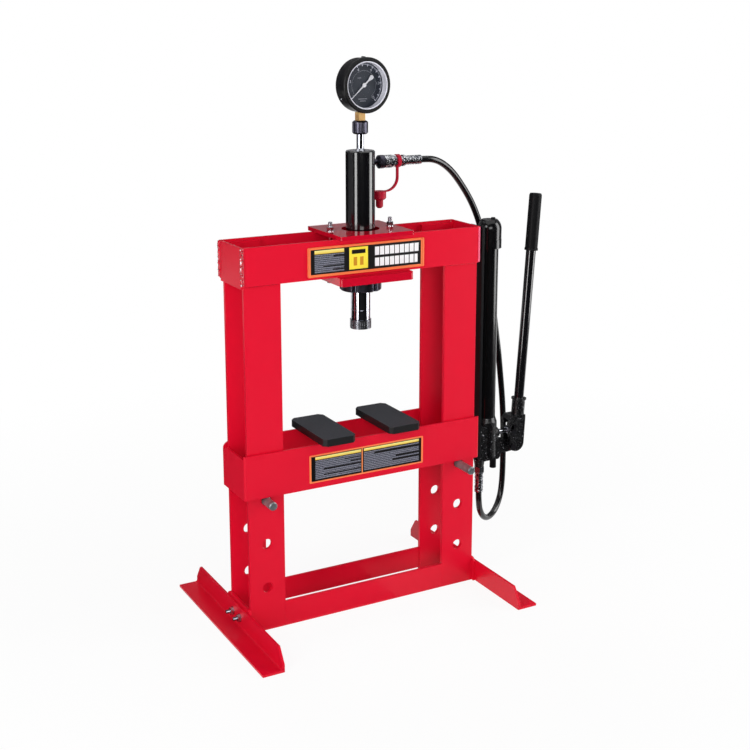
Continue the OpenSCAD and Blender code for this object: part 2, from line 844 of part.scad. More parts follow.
// A crimped ferrule along +Z, ridged, with the hose at its far end
module ferrule(length) {
  ridges = 5;
  step = (length - 8) / ridges;
  difference() {
    cylinder(r = ferrule_r, h = length);
    for (k = [1:ridges]) translate([0, 0, 3 + (k - 0.5) * step])
      ring(ferrule_r + 1, ferrule_r - 0.7, step / 2);
    translate([0, 0, -1]) cylinder(r = 2, h = length + 2);
  }
}

module hose_ferrule_ram() {
  color("silver") at_frame() translate([ferrule_x, 0, port_z]) along_x() ferrule(ferrule_len);
}

module hose_ferrule_pump() {
  color("silver") at_frame() translate([outlet_x, 0, outlet_z - 14])
    mirror([0, 0, 1]) ferrule(pump_ferrule_len);
}

module hose_nut() {
  color("silver") at_frame() translate([outlet_x, 0, outlet_z - 14]) difference() {
    hexagon(21, 14);
    translate([0, 0, -1]) cylinder(r = 2, h = 16);
  }
}

// ---- pump ----

module at_pump() {
  at_frame() translate([pump_x, 0, 0]) children();
}

// Flat bar that hangs the pump from the beam's end, with two spacer bosses
module pump_bracket() {
  low = pump_z + 10;
  high = beam_top - 8;
  color("#1c1d20") at_frame() difference() {
    union() {
      block([bracket_x, -bracket_w / 2, low], [pad_x, bracket_w / 2, high]);
      for (z = bracket_bolt_z) translate([half_w + plate_t, 0, z])
        along_x() cylinder(r = 10, h = bracket_x - half_w - plate_t + 1);
    }
    for (z = bracket_bolt_z) translate([half_w, 0, z])
      along_x() cylinder(r = bolt_r + fit, h = pad_x - half_w + 1);
    for (z = pad_screw_z) translate([bracket_x - 1, 0, z]) along_x() {
      cylinder(r = bolt_hole_r, h = bracket_t + 2);
      cylinder(r1 = 9, r2 = bolt_hole_r, h = 5);
    }
  }
}

// Two hex bolts from inside the beam hold the bar, two countersunk screws the pump to the bar
module bracket_bolts() {
  color("silver") at_frame() {
    for (z = bracket_bolt_z) translate([half_w, 0, z]) hex_bolt(pad_x - half_w - 0.5, bolt_r, 13);
    for (z = pad_screw_z) translate([bracket_x, 0, z]) along_x() {
      cylinder(r1 = 7.9, r2 = bolt_r, h = 4);
      cylinder(r = bolt_r, h = bracket_t + 14);
    }
  }
}

module pump_casting() {
  shoulder = 11;
  foot_w2 = 40;
  color("#1b1d1f") at_frame() difference() {
    union() {
      // Round body with a shoulder under the reservoir tube
      translate([pump_x, 0, pump_z + 6]) cylinder(r = cast_r, h = cast_h - 6 - shoulder);
      translate([pump_x, 0, cast_top - shoulder])
        cylinder(r1 = cast_r, r2 = tank_r + 0.5, h = shoulder);
      // Foot block, with a sloping roof towards the fork
      profile_y(foot_w2) polygon([
        [pump_x - 26, pump_z + 5], [pump_x - 21, pump_z], [pump_x + 22, pump_z],
        [pump_x + 26, pump_z + 5], [pump_x + 26, pump_z + 31], [pump_x, pump_z + 56],
        [pump_x - 26, pump_z + 56]
      ]);
      // Mounting pad
      block([pad_x, -pad_w / 2, pump_z + 10], [pump_x, pad_w / 2, pump_z + 82]);
      // Boss of the plunger
      translate([pump_x, 0, plunger_z]) along_x() cylinder(r = 13.5, h = 25.5);
      // Tongue that carries the handle's pivot
      profile_y(tongue_w) polygon([
        [pump_x, pump_z + 3], [pivot[0], pivot[1] - 11], [pivot[0], pivot[1] + 11],
        [pump_x + 34, pump_z + 42], [pump_x + 22, pump_z + 42]
      ]);
      translate([pivot[0], 0, pivot[1]]) along_y() cylinder(r = 11, h = tongue_w, center = true);
      // Outlet boss and valve boss
      translate([outlet_x, 0, outlet_z]) cylinder(r1 = 10, r2 = 13, h = pump_z - outlet_z + 1);
      translate([knob_x, 0, pump_z - 2.5]) cylinder(r = 7.5, h = 4);
    }
    translate([pivot[0], 0, pivot[1]]) along_y() cylinder(r = pin_hole_r + fit, h = 20, center = true);
    translate([pump_x - 22, 0, plunger_z]) along_x() cylinder(r = plunger_r + fit, h = 50);
    translate([pump_x + 14, 0, plunger_z]) along_x() cylinder(r = 9, h = 20);
    translate([outlet_x, 0, outlet_z - 1]) cylinder(r = 2, h = 40);
    translate([knob_x, 0, pump_z - 3]) cylinder(r = 3 + fit, h = 24);
    translate([pump_x, 0, cast_top - 14]) cylinder(r = 12, h = 20);
    for (z = pad_screw_z) translate([pad_x - 1, 0, z])
      along_x() cylinder(r = bolt_r + fit, h = 17);
  }
}

module reservoir_tube() {
  color("#101113") at_pump() translate([0, 0, cast_top]) ring(tank_r, tank_r - tank_wall, tank_len);
}

// Cap with a knurled lower band, a groove and a domed end, turned in one piece
module reservoir_cap() {
  band = 20;
  dome = cap_h - band;
  color("#141517") at_pump() translate([0, 0, tank_top]) difference() {
    rotate_extrude($fn = 96) difference() {
      union() {
        square([cap_r, band - 2]);
        square([cap_r - 1.2, band]);
        translate([0, band]) square([cap_r - 0.4, dome - cap_r * 0.75]);
        intersection() {
          translate([0, cap_h - cap_r * 0.75]) scale(1) circle(r = cap_r - 0.4);
          square([cap_r, cap_h]);
        }
      }
      translate([0, -1]) square([tank_r - tank_wall, band]);
      translate([-cap_r - 1, -1]) square([cap_r + 1, cap_h + 20]);
    }
    translate([cap_r * 0.35, 0, cap_h - 14]) cylinder(r = 3, h = 30);
  }
}

module filler_plug() {
  color("#26282b") at_pump() translate([cap_r * 0.35, 0, tank_top + cap_h - 13]) {
    cylinder(r = 2.95, h = 14);
    translate([0, 0, 13]) cylinder(r = 4.5, h = 3);
  }
}

module plunger_gland() {
  color("#2a2c2f") at_pump() translate([25.5, 0, plunger_z]) along_x() difference() {
    union() {
      translate([0, 0, -9]) cylinder(r = 8.95, h = 10);
      cylinder(r = 11.5, h = 5, $fn = 6);
    }
    translate([0, 0, -10]) cylinder(r = plunger_r + fit, h = 18);
  }
}

// Chromed plunger; its flattened eye rides on a pin in the fork
module plunger() {
  eye_r = 9.5;
  color("gainsboro") at_frame() difference() {
    union() {
      translate([pump_x - 16, 0, plunger_z]) along_x()
        cylinder(r = plunger_r, h = pivot_out - eye_r + 20);
      translate([crank[0], 0, crank[1]]) along_y() cylinder(r = eye_r, h = 14, center = true);
    }
    translate([crank[0], 0, crank[1]]) along_y()
      cylinder(r = crank_pin_r + fit, h = 20, center = true);
  }
}

module plunger_pin() {
  color("silver") at_frame() translate([crank[0], 0, crank[1]]) along_y() {
    cylinder(r = crank_pin_r, h = fork_w + 6, center = true);
    for (end = [-1, 1]) translate([0, 0, end * (fork_w / 2 + 2) - 1]) cylinder(r = 6.5, h = 2);
  }
}

module fulcrum_pin() {
  color("silver") at_frame() translate([pivot[0], 0, pivot[1]]) along_y() {
    cylinder(r = pin_hole_r, h = fork_w + 6, center = true);
    for (end = [-1, 1]) translate([0, 0, end * (fork_w / 2 + 2) - 1]) cylinder(r = 7.5, h = 2);
  }
}

module release_knob() {
  lobes = 10;
  color("#2a2c2f") at_frame() translate([knob_x, 0, pump_z - 25]) {
    difference() {
      cylinder(r = 7.2, h = 20);
      for (k = [0:lobes - 1]) rotate([0, 0, 360 * k / lobes])
        translate([7.9, 0, 2]) cylinder(r = 1.5, h = 20, $fn = 16);
    }
    translate([0, 0, 19]) cylinder(r = 3, h = 20);
  }
}

// ---- handle ----

module leaning() {
  at_frame() translate([socket_x, 0, pivot[1]]) rotate([0, handle_lean, 0]) children();
}

// Forked casting: two cheeks over the tongue and the plunger's eye, a back web and the socket
module handle_fork() {
  x = pivot[0];
  z = pivot[1];
  lobe = [x + (fork_out - fork_in) / 2, z + lobe_r - 10.5];
  color("#17181a") difference() {
    union() {
      at_frame() profile_y(fork_w) {
        translate(lobe) circle(r = lobe_r);
        polygon([
          [x - fork_in, lobe[1]], [x + fork_out, lobe[1]], [x + fork_out + 3, z + 62],
          [x + fork_out + 3, fork_top], [x - fork_in + 6, fork_top],
          [x - fork_in, fork_top - 8]
        ]);
      }
      leaning() {
        translate([0, 0, 62]) cylinder(r = socket_r, h = socket_len - 62);
        translate([0, 0, socket_len - 5]) cylinder(r1 = socket_r, r2 = socket_r + 2.2, h = 2);
        translate([0, 0, socket_len - 3]) cylinder(r = socket_r + 2.2, h = 3);
      }
    }
    // Room between the cheeks, closed by the web at the back and the socket above
    at_frame() translate([x - fork_in - 1, -cheek_gap / 2, z - 30])
      cube([fork_in + 20, cheek_gap, 30 + 62]);
    at_frame() translate([x, 0, z]) along_y() cylinder(r = pin_hole_r + fit, h = 40, center = true);
    // Slot of the plunger's pin: the pin's line of travel is straight, the fork's is round
    at_frame() translate([x, 0, z + pivot_drop]) {
      along_y() cylinder(r = crank_slot_r, h = 40, center = true);
      translate([0, 0, crank_slot]) along_y() cylinder(r = crank_slot_r, h = 40, center = true);
      translate([-crank_slot_r, -20, 0]) cube([2 * crank_slot_r, 40, crank_slot]);
    }
    leaning() {
      translate([0, 0, pipe_start]) cylinder(r = pipe_r + fit, h = 60);
    }
  }
}

module handle_pipe() {
  color("#1a1b1d") leaning() translate([0, 0, pipe_start]) ring(pipe_r, pipe_r - 2.6, pipe_len);
}

// Rubber grip: a sleeve with finger waves on the pump's side, a skirt and a closed end
module handle_grip() {
  end_wall = 3;
  start = pipe_start + pipe_len + end_wall - grip_len;
  waves = 5;
  pitch = (grip_len - 30) / waves;
  color("#1a1a1b") leaning() translate([0, 0, start]) difference() {
    union() {
      cylinder(r1 = grip_r + 1.2, r2 = grip_r + 0.6, h = 5);
      translate([0, 0, 4]) cylinder(r = grip_r, h = grip_len - 8);
      translate([0, 0, grip_len - 4]) cylinder(r1 = grip_r, r2 = grip_r - 1.5, h = 4);
    }
    translate([0, 0, -1]) cylinder(r = pipe_r + fit, h = grip_len - end_wall + 1);
    for (k = [0:waves - 1]) translate([-grip_r - 11, 0, 18 + (k + 0.5) * pitch])
      along_y() cylinder(r = 12, h = 40, center = true);
  }
}

// ---- bed ----

// A side plate in plan and elevation: the outer upright edges are rounded
module bed_side_plate(y0, round_top) {
  half = bed_half_w + plate_t;
  intersection() {
    translate([0, y0, bed_z]) linear_extrude(height = bed_h) {
      translate([-half + plate_t, 0]) square([2 * half - 2 * plate_t, plate_t]);
      for (x = [-half + plate_t, half - plate_t]) intersection() {
        translate([x, y0 < 0 ? plate_t : 0]) circle(r = plate_t);
        translate([x - plate_t, 0]) square([2 * plate_t, plate_t]);
      }
    }
    translate([0, y0 + plate_t / 2, bed_z - 1]) profile_y(plate_t + 2)
      tombstone(2 * half + 2, bed_h + 1, round_top);
  }
}

module bed_side_plates() {
  color("crimson") at_frame() {
    bed_side_plate(-bed_half_d - plate_t, 2);
    bed_side_plate(bed_half_d, 20);
  }
}

module bed_end_plates() {
  corner = 20;
  h = bed_h - bed_end_drop;
  color("crimson") at_frame() both_sides() translate([bed_half_w, 0, bed_z])
    rotate([90, 0, 90]) linear_extrude(height = plate_t) {
      translate([-bed_half_d, 0]) square([2 * bed_half_d, h - corner]);
      translate([-bed_half_d, h - corner]) square([2 * bed_half_d - corner, corner]);
      intersection() {
        translate([bed_half_d - corner, h - corner]) circle(r = corner);
        translate([bed_half_d - corner, h - corner]) square(corner);
      }
    }
}

module arbor_plate() {
  cut = 7;
  half = arbor_d / 2;
  linear_extrude(height = arbor_t) polygon([
    [0, -half + cut], [cut, -half], [arbor_w - cut, -half], [arbor_w, -half + cut],
    [arbor_w, half - cut], [arbor_w - cut, half], [cut, half], [0, half - cut]
  ]);
}

module arbor_plate_left() {
  color("#202225") at_frame()
    translate([arbor_x - arbor_gap / 2 - arbor_w, 2, bed_top]) arbor_plate();
}

module arbor_plate_right() {
  color("#202225") at_frame() translate([arbor_x + arbor_gap / 2, 8, bed_top]) arbor_plate();
}

// A turned pin with chamfered ends and a shallow recess in its front end
module bed_pin(side, front) {
  cut = 1.8;
  color("gray") at_frame() translate([side * hole_x, -half_d - front, pin_z]) along_y()
    difference() {
      union() {
        cylinder(r1 = pin_r - cut, r2 = pin_r, h = cut);
        translate([0, 0, cut]) cylinder(r = pin_r, h = pin_len - 2 * cut);
        translate([0, 0, pin_len - cut]) cylinder(r1 = pin_r, r2 = pin_r - cut, h = cut);
      }
      translate([0, 0, -1]) cylinder(r = pin_r * 0.55, h = 2.2);
    }
}

// ---- the pieces ----

upright(-1, -1);  // upright_front_left
upright(1, -1);  // upright_front_right
upright(-1, 1);  // upright_back_left
upright(1, 1);  // upright_back_right
beam_side_plates();
beam_end_plates();
base_side_plates();
base_end_plates();
foot_left();
foot_right();
foot_fasteners();
head_top_plate();
head_bottom_plate();
tie_fasteners();
ram_barrel();
ring_nut();
ram_gland();
return_spring();
piston_rod();
piston_seal();
saddle();
saddle_screw();
gauge_adapter();
gauge_nut();
gauge_stem();
gauge_case();
gauge_bezel();
gauge_lens();
gauge_dial();
dial_ring();
gauge_needle();
gauge_plug();
coupler_nipple();
coupler_sleeve();
coupler_half();
dust_cap();
hose();
hose_ferrule_ram();
hose_ferrule_pump();
hose_nut();
pump_bracket();
bracket_bolts();
pump_casting();
reservoir_tube();
reservoir_cap();
filler_plug();
plunger_gland();
plunger();
plunger_pin();
fulcrum_pin();
handle_fork();
handle_pipe();
handle_grip();
release_knob();
bed_side_plates();
bed_end_plates();
arbor_plate_left();
arbor_plate_right();
bed_pin(-1, pin_front_left);  // bed_pin_left
bed_pin(1, pin_front_right);  // bed_pin_right
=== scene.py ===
"""Looks of a bench hydraulic press: finishes, hose, printed sheets, dial figures,
weld beads, bolt threads and gauge rings, with the camera, floor and light."""

import math

import bpy
from mathutils import Euler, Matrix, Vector


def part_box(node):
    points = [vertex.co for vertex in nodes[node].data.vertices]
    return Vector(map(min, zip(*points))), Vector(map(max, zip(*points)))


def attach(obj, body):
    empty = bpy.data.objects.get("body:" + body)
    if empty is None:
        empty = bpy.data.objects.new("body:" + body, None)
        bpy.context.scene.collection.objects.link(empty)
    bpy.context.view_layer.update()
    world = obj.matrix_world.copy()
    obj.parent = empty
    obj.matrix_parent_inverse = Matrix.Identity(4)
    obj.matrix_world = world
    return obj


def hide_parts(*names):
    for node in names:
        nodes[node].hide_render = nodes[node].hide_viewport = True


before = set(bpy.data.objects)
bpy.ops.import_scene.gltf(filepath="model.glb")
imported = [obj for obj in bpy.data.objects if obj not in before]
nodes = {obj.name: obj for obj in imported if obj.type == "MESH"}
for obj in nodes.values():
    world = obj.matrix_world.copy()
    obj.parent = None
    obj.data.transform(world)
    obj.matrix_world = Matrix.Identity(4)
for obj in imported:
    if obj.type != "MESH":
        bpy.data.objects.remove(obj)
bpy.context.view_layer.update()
MM = 0.001


# ---- measures taken from the frame ----

def span(node):
    """Lowest corner, highest corner and middle of a node."""
    low, high = (Vector(corner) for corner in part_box(node))
    return low, high, (low + high) / 2


RAM = span("ram_barrel")[2]
DIAL = span("gauge_dial")[2]
BEAM_LOW, BEAM_HIGH, BEAM = span("beam_side_plates")
BED_LOW = span("bed_side_plates")[0]
ARBOR_TOP = span("arbor_plate_left")[1].z
FRAME_X = -72  # the frame's middle, in millimetres

# the gauge looks a little to the right, and its scale starts low on the left
GAUGE_TURN = math.radians(5)
GAUGE_FACING = Euler((0, 0, GAUGE_TURN)).to_matrix()
GAUGE_UPRIGHT = (math.radians(90), 0, GAUGE_TURN)
NEEDLE_ZERO = math.radians(-131)
SCALE_SWEEP = math.radians(270)


# ---- camera ----

def place_camera():
    """A long lens to the left of the press, a little above its gauge."""
    tilt_down, swing_right = 12.466, 28.751
    data = bpy.data.cameras.new("camera")
    data.sensor_width = 36
    data.lens = 61.27
    data.shift_y = -0.1053
    data.clip_start = 0.05
    data.clip_end = 30
    camera = bpy.data.objects.new("camera", data)
    camera.location = (-1.2342, -2.2058, 1.1991)
    camera.rotation_euler = (
        math.radians(90 - tilt_down), 0, math.radians(-swing_right))
    bpy.context.collection.objects.link(camera)
    bpy.context.scene.camera = camera


place_camera()


# ---- shader arithmetic ----

class Value:
    """A shader socket that takes part in arithmetic."""

    def __init__(self, tree, socket):
        self.tree = tree
        self.socket = socket

    def math(self, operation, *operands, clamp=False):
        """A Math node on the operands, which are values or numbers."""
        node = self.tree.nodes.new("ShaderNodeMath")
        node.operation = operation
        node.use_clamp = clamp
        for slot, operand in zip(node.inputs, operands):
            if isinstance(operand, Value):
                self.tree.links.new(operand.socket, slot)
            else:
                slot.default_value = operand
        return Value(self.tree, node.outputs[0])

    def __add__(self, other):
        return self.math("ADD", self, other)

    def __sub__(self, other):
        return self.math("SUBTRACT", self, other)

    def __rsub__(self, other):
        return self.math("SUBTRACT", other, self)

    def __mul__(self, other):
        return self.math("MULTIPLY", self, other)

    def __truediv__(self, other):
        return self.math("DIVIDE", self, other)

    def __pow__(self, other):
        return self.math("POWER", self, other)

    def __mod__(self, other):
        return self.math("FLOORED_MODULO", self, other)

    def __gt__(self, other):
        return self.math("GREATER_THAN", self, other)

    def __lt__(self, other):
        return self.math("LESS_THAN", self, other)

    __radd__ = __add__
    __rmul__ = __mul__

    def __abs__(self):
        return self.math("ABSOLUTE", self)

    def clamped(self):
        """The value held between nothing and one."""
        return self.math("ADD", self, 0.0, clamp=True)

    def within(self, low, high):
        """One between the two limits, nothing outside them."""
        return (self > low) * (self < high)


class Finish:
    """One material, whose nodes are added by type, settings and sockets."""

    def __init__(self, name):
        self.material = bpy.data.materials.new(name)
        self.material.use_nodes = True
        self.tree = self.material.node_tree
        self.tree.nodes.clear()
        self.output = self.tree.nodes.new("ShaderNodeOutputMaterial")

    def add(self, kind, settings=None, sockets=None, out=0):
        node = self.tree.nodes.new("ShaderNode" + kind)
        for key, value in (settings or {}).items():
            setattr(node, key, value)
        for key, value in (sockets or {}).items():
            if isinstance(value, Value):
                self.tree.links.new(value.socket, node.inputs[key])
            else:
                node.inputs[key].default_value = value
        return Value(self.tree, node.outputs[out])

    def place(self, centre=(0, 0, 0), turn=(0, 0, 0)):
        """Object coordinates about a centre, in metres."""
        coordinates = self.add("TexCoord", out="Object")
        moved = self.add(
            "VectorMath", {"operation": "SUBTRACT"}, {0: coordinates, 1: centre})
        return self.add("Mapping", None, {"Vector": moved, "Rotation": turn})

    def axes(self, vector):
        """The three parts of a vector."""
        split = self.add("SeparateXYZ", None, {0: vector})
        return [Value(self.tree, socket) for socket in split.socket.node.outputs]

    def joined(self, x, y, z):
        """A vector of three parts."""
        return self.add("CombineXYZ", None, {0: x, 1: y, 2: z})

    def noise(self, vector, scale, detail=3.0, roughness=0.5):
        return self.add("TexNoise", None, {
            "Vector": vector, "Scale": scale, "Detail": detail,
            "Roughness": roughness})

    def bump(self, height, strength, distance):
        return self.add("Bump", None, {
            "Height": height, "Strength": strength, "Distance": distance})

    def mix(self, factor, first, second):
        """A colour between two colours."""
        return self.add(
            "Mix", {"data_type": "RGBA"}, {0: factor, 6: first, 7: second}, out=2)

    def end_in(self, shader):
        self.tree.links.new(shader.socket, self.output.inputs["Surface"])
        return self.material

    def shade(self, **sockets):
        """Ends in a Principled shader, whose sockets are named with underscores."""
        values = {key.replace("_", " "): value for key, value in sockets.items()}
        return self.end_in(self.add("BsdfPrincipled", None, values))


def rgb(red, green, blue):
    """A colour given as it looks on screen, 0 to 255, made linear."""
    def linear(value):
        value /= 255
        return value / 12.92 if value <= 0.04045 else ((value + 0.055) / 1.055) ** 2.4
    return (linear(red), linear(green), linear(blue), 1.0)


# ---- finishes ----

def enamel(name, colour, deep, roughness, coat=0.05, gloss=0.22):
    """Gloss paint with a faint orange peel and slow changes of tone."""
    finish = Finish(name)
    where = finish.place()
    tone = finish.noise(where, 9.0)
    peel = finish.noise(where, 90.0, detail=1.0)
    return finish.shade(
        Base_Color=finish.mix(tone * 0.4, colour, deep),
        Roughness=roughness + tone * 0.08,
        Specular_IOR_Level=gloss,
        Coat_Weight=coat,
        Coat_Roughness=0.08,
        Normal=finish.bump(peel, 0.05, 0.6 * MM))


def weld_paint(name, deep, glint_share):
    """Red paint over a weld: glossy runs, dark specks at random, and a share of pale
    specks that are painted glints, highlights painted into its colour."""
    finish = Finish(name)
    where = finish.place()
    dark_specks = (finish.noise(where, 420.0) - 0.5) * 6 + 0.1
    lumps = finish.noise(where, 260.0, detail=2.0)
    painted_glints = (finish.noise(where, 190.0, detail=1.0) - 1 + glint_share) * 14
    runs = finish.mix(dark_specks.clamped(), rgb(214, 16, 44), deep)
    return finish.shade(
        # the pale specks are painted glints: highlights painted into the base colour
        Base_Color=finish.mix(painted_glints.clamped(), runs, rgb(255, 226, 234)),
        Roughness=0.12 + lumps * 0.1,
        Coat_Weight=1.0,
        Coat_Roughness=0.05,
        Normal=finish.bump(lumps, 0.8, 2 * MM))


def gloss_black(name, roughness=0.12, coat=0.8, tint=(8, 8, 11), gloss=0.5):
    """Black paint over smooth metal, with a film of dust and slow waves."""
    finish = Finish(name)
    where = finish.place()
    dust = finish.noise(where, 120.0, detail=4.0)
    waves = finish.noise(where, 45.0, detail=1.0)
    dusty = (level + 7 for level in tint)
    return finish.shade(
        Base_Color=finish.mix(dust, rgb(*tint), rgb(*dusty)),
        Roughness=roughness + dust * 0.08,
        Specular_IOR_Level=gloss,
        Coat_Weight=coat,
        Coat_Roughness=0.06,
        Normal=finish.bump(waves, 0.06, 0.5 * MM))


def cast_paint(name):
    """Black paint over a sand casting, with pale painted glints on a few of its grains.
    """
    finish = Finish(name)
    where = finish.place()
    grains = finish.noise(where, 620.0, detail=4.0, roughness=0.6)
    lumps = finish.noise(where, 130.0, detail=2.0)
    painted_glints = (finish.noise(where, 340.0, detail=1.0) - 0.7) * 16
    skin = finish.mix(lumps, rgb(5, 5, 7), rgb(14, 14, 17))
    return finish.shade(
        # the pale specks are painted glints: highlights painted into the base colour
        Base_Color=finish.mix(painted_glints.clamped(), skin, rgb(176, 178, 186)),
        Roughness=0.16 + grains * 0.2,
        Specular_IOR_Level=0.4,
        Coat_Weight=0.3,
        Coat_Roughness=0.1,
        Normal=finish.bump(grains * 0.6 + lumps, 0.7, 1.2 * MM))


def phosphate(name, top):
    """Blackened rolled plate, dull, with faint rolling marks, its top face painted
    paler than its sides as painted light from above."""
    finish = Finish(name)
    where = finish.place()
    x, y, z = finish.axes(where)
    grain = finish.noise(where, 420.0, detail=5.0)
    rolling = finish.noise(finish.joined(x * 8, y, z * 8), 60.0)
    return finish.shade(
        # painted light: the top face is painted paler and the sides darker, as light
        # from above would leave them
        Base_Color=finish.mix(
            z > top - 0.3 * MM,
            finish.mix(rolling, rgb(15, 15, 18), rgb(26, 27, 30)),
            finish.mix(rolling, rgb(34, 37, 43), rgb(56, 58, 64))),
        Metallic=0.1,
        Roughness=0.42 + grain * 0.16,
        Normal=finish.bump(grain + rolling, 0.16, 0.4 * MM))


def plated(name, light, dark, roughness, scale=60.0, metallic=1.0):
    """Plated or turned metal with a cloudy grain."""
    finish = Finish(name)
    where = finish.place()
    cloud = finish.noise(where, scale)
    grain = finish.noise(where, scale * 16)
    return finish.shade(
        Base_Color=finish.mix(cloud, light, dark),
        Metallic=metallic,
        Roughness=roughness + grain * 0.14,
        Normal=finish.bump(grain, 0.12, 0.2 * MM))


def pale_paint(name, light, dark, roughness):
    """Matt pale paint on the gauge's small pieces."""
    return plated(name, light, dark, roughness, scale=75.0, metallic=0.0)


def crimped(name):
    """Bright zinc over a crimped sleeve: blotched passivation and small dents."""
    finish = Finish(name)
    where = finish.place()
    blotch = (finish.noise(where, 210.0, detail=2.0) - 0.5) * 4 + 0.5
    dents = finish.noise(where, 330.0, detail=2.0)
    return finish.shade(
        Base_Color=finish.mix(blotch.clamped(), rgb(238, 240, 244), rgb(84, 86, 96)),
        Metallic=1.0,
        Roughness=0.12 + dents * 0.2,
        Normal=finish.bump(dents, 0.6, 0.9 * MM))


def ground_rod(name):
    """Ground and chromed rod: mirror bright, with hairline grinding rings along Z."""
    finish = Finish(name)
    z = finish.axes(finish.place(RAM))[2]
    rings = finish.noise(finish.joined(0.0, 0.0, z), 900.0, detail=2.0)
    film = finish.noise(finish.place(), 40.0)
    return finish.shade(
        Base_Color=finish.mix(film, rgb(212, 214, 222), rgb(186, 188, 198)),
        Metallic=1.0,
        Roughness=0.06 + rings * 0.07 + film * 0.03,
        Normal=finish.bump(rings, 0.05, 0.1 * MM))


def turned_pin(name):
    """Drawn steel pin along Y, with a faint blue oil film and turning rings."""
    finish = Finish(name)
    where = finish.place()
    y = finish.axes(where)[1]
    rings = finish.noise(finish.joined(0.0, y, 0.0), 700.0, detail=2.0)
    film = finish.noise(where, 60.0)
    return finish.shade(
        Base_Color=finish.mix(film, rgb(170, 176, 180), rgb(84, 92, 96)),
        Metallic=0.6,
        Roughness=0.28 + film * 0.14 + rings * 0.05,
        Normal=finish.bump(rings, 0.08, 0.2 * MM))


def rubber(name, colour, roughness, scale, bumps=0.2, gloss=0.32):
    """Black rubber with a fine grain and slow scuffs."""
    finish = Finish(name)
    where = finish.place()
    grain = finish.noise(where, scale)
    scuff = finish.noise(where, 30.0, detail=4.0)
    return finish.shade(
        Base_Color=finish.mix(scuff, colour, rgb(18, 18, 20)),
        Roughness=roughness + scuff * 0.12,
        Specular_IOR_Level=gloss,
        Normal=finish.bump(grain, bumps, 0.4 * MM))


def moulded_red(name):
    """Red moulded rubber of the dust cap."""
    finish = Finish(name)
    grain = finish.noise(finish.place(), 300.0)
    return finish.shade(
        Base_Color=finish.mix(grain, rgb(160, 4, 34), rgb(196, 12, 50)),
        Roughness=0.36 + grain * 0.1,
        Specular_IOR_Level=0.25,
        Normal=finish.bump(grain, 0.08, 0.3 * MM))


def clear_glass(name):
    """Thin flat pane with a trace of dust."""
    finish = Finish(name)
    dust = finish.noise(finish.place(), 90.0)
    return finish.shade(
        Base_Color=rgb(24, 26, 30),
        Roughness=0.02 + dust * 0.03,
        IOR=1.45,
        Alpha=0.09)


# how many blocks and lines fill a sheet, and the share of each that is a gap
BLOCKS, BLOCK_GAP = 23.0, 0.16
LINES, LINE_GAP = 16.0, 0.34

INKS = {
    "yellow": rgb(252, 232, 64),
    "orange": rgb(246, 140, 80),
    "ochre": rgb(206, 142, 26),
    "dark": rgb(14, 12, 14),
}


def printed_sheet(name, low, high, border, fields):
    """A printed sheet on an X-Z plate: an orange edge, a black ground and fields.

    A field is its left, right, bottom and top as parts of the sheet, and its kind:
    a plain ink, straw that pales upwards, a row of blocks, or lines of specks that
    are too small to be letters.
    """
    finish = Finish(name)
    x, _, z = finish.axes(finish.place())
    across = (x - low.x) / (high.x - low.x)
    up = (z - low.z) / (high.z - low.z)
    side, end = border
    ground = across.within(side, 1 - side) * up.within(end, 1 - end)
    ink = finish.mix(ground, rgb(250, 128, 74), rgb(13, 11, 13))
    for left, right, bottom, top, kind in fields:
        inside = across.within(left, right) * up.within(bottom, top)
        if kind == "straw":
            fade = (up - bottom) / (top - bottom)
            colour = finish.mix(fade, rgb(236, 196, 60), rgb(250, 240, 150))
        elif kind == "blocks":
            inside = inside * (((across - left) * BLOCKS) % 1.0 > BLOCK_GAP)
            colour = rgb(244, 244, 246)
        elif kind == "lines":
            inside = inside * (((up - bottom) * LINES) % 1.0 > LINE_GAP)
            stretched = finish.joined(x * 1.6, 0.0, z * 0.7)
            specks = finish.noise(stretched, 900.0, detail=2.0)
            colour = finish.mix(specks > 0.5, rgb(78, 82, 98), rgb(152, 154, 168))
        else:
            colour = INKS[kind]
        ink = finish.mix(inside, ink, colour)
    film = finish.noise(finish.place(), 500.0, detail=2.0)
    return finish.shade(
        Base_Color=ink,
        Roughness=0.3 + film * 0.1,
        Normal=finish.bump(film, 0.05, 0.2 * MM))


def dial_print(name):
    """Dark blue-grey dial face: a scale of long and short strokes, a thin ring
    inside it, and rows of plain dashes."""
    scale_edge, dash_height = 41.2 * MM, 1.6 * MM
    finish = Finish(name)
    x, _, z = finish.axes(finish.place(DIAL, (0, 0, -GAUGE_TURN)))
    radius = (x * x + z * z) ** 0.5
    turned = (x.math("ARCTAN2", x, z) - NEEDLE_ZERO) / SCALE_SWEEP
    ink = radius.within(27.5 * MM, 27.9 * MM) * 0.5
    for parts, width, inner in ((15.0, 0.08, 36.4), (75.0, 0.2, 38.8)):
        off_stroke = abs((turned * parts + 0.5) % 1.0 - 0.5)
        ink = ink + (off_stroke < width) * radius.within(inner * MM, scale_edge)
    ink = ink * turned.within(-0.004, 1.004)
    dashes = ((x * 420.0) % 1.0 > 0.3) * 0.45
    for left, right, low in ((-15, -6, 13), (-13, 7, -27), (-9, 4, -31)):
        bottom = low * MM
        row = x.within(left * MM, right * MM) * z.within(bottom, bottom + dash_height)
        ink = ink + row * dashes
    cloud = finish.noise(finish.place(), 60.0, detail=2.0)
    face = finish.mix(cloud, rgb(40, 46, 57), rgb(58, 64, 76))
    return finish.shade(
        Base_Color=finish.mix(ink.clamped(), face, rgb(226, 228, 242)),
        Roughness=0.42 + cloud * 0.1,
        Normal=finish.bump(cloud, 0.05, 0.2 * MM))


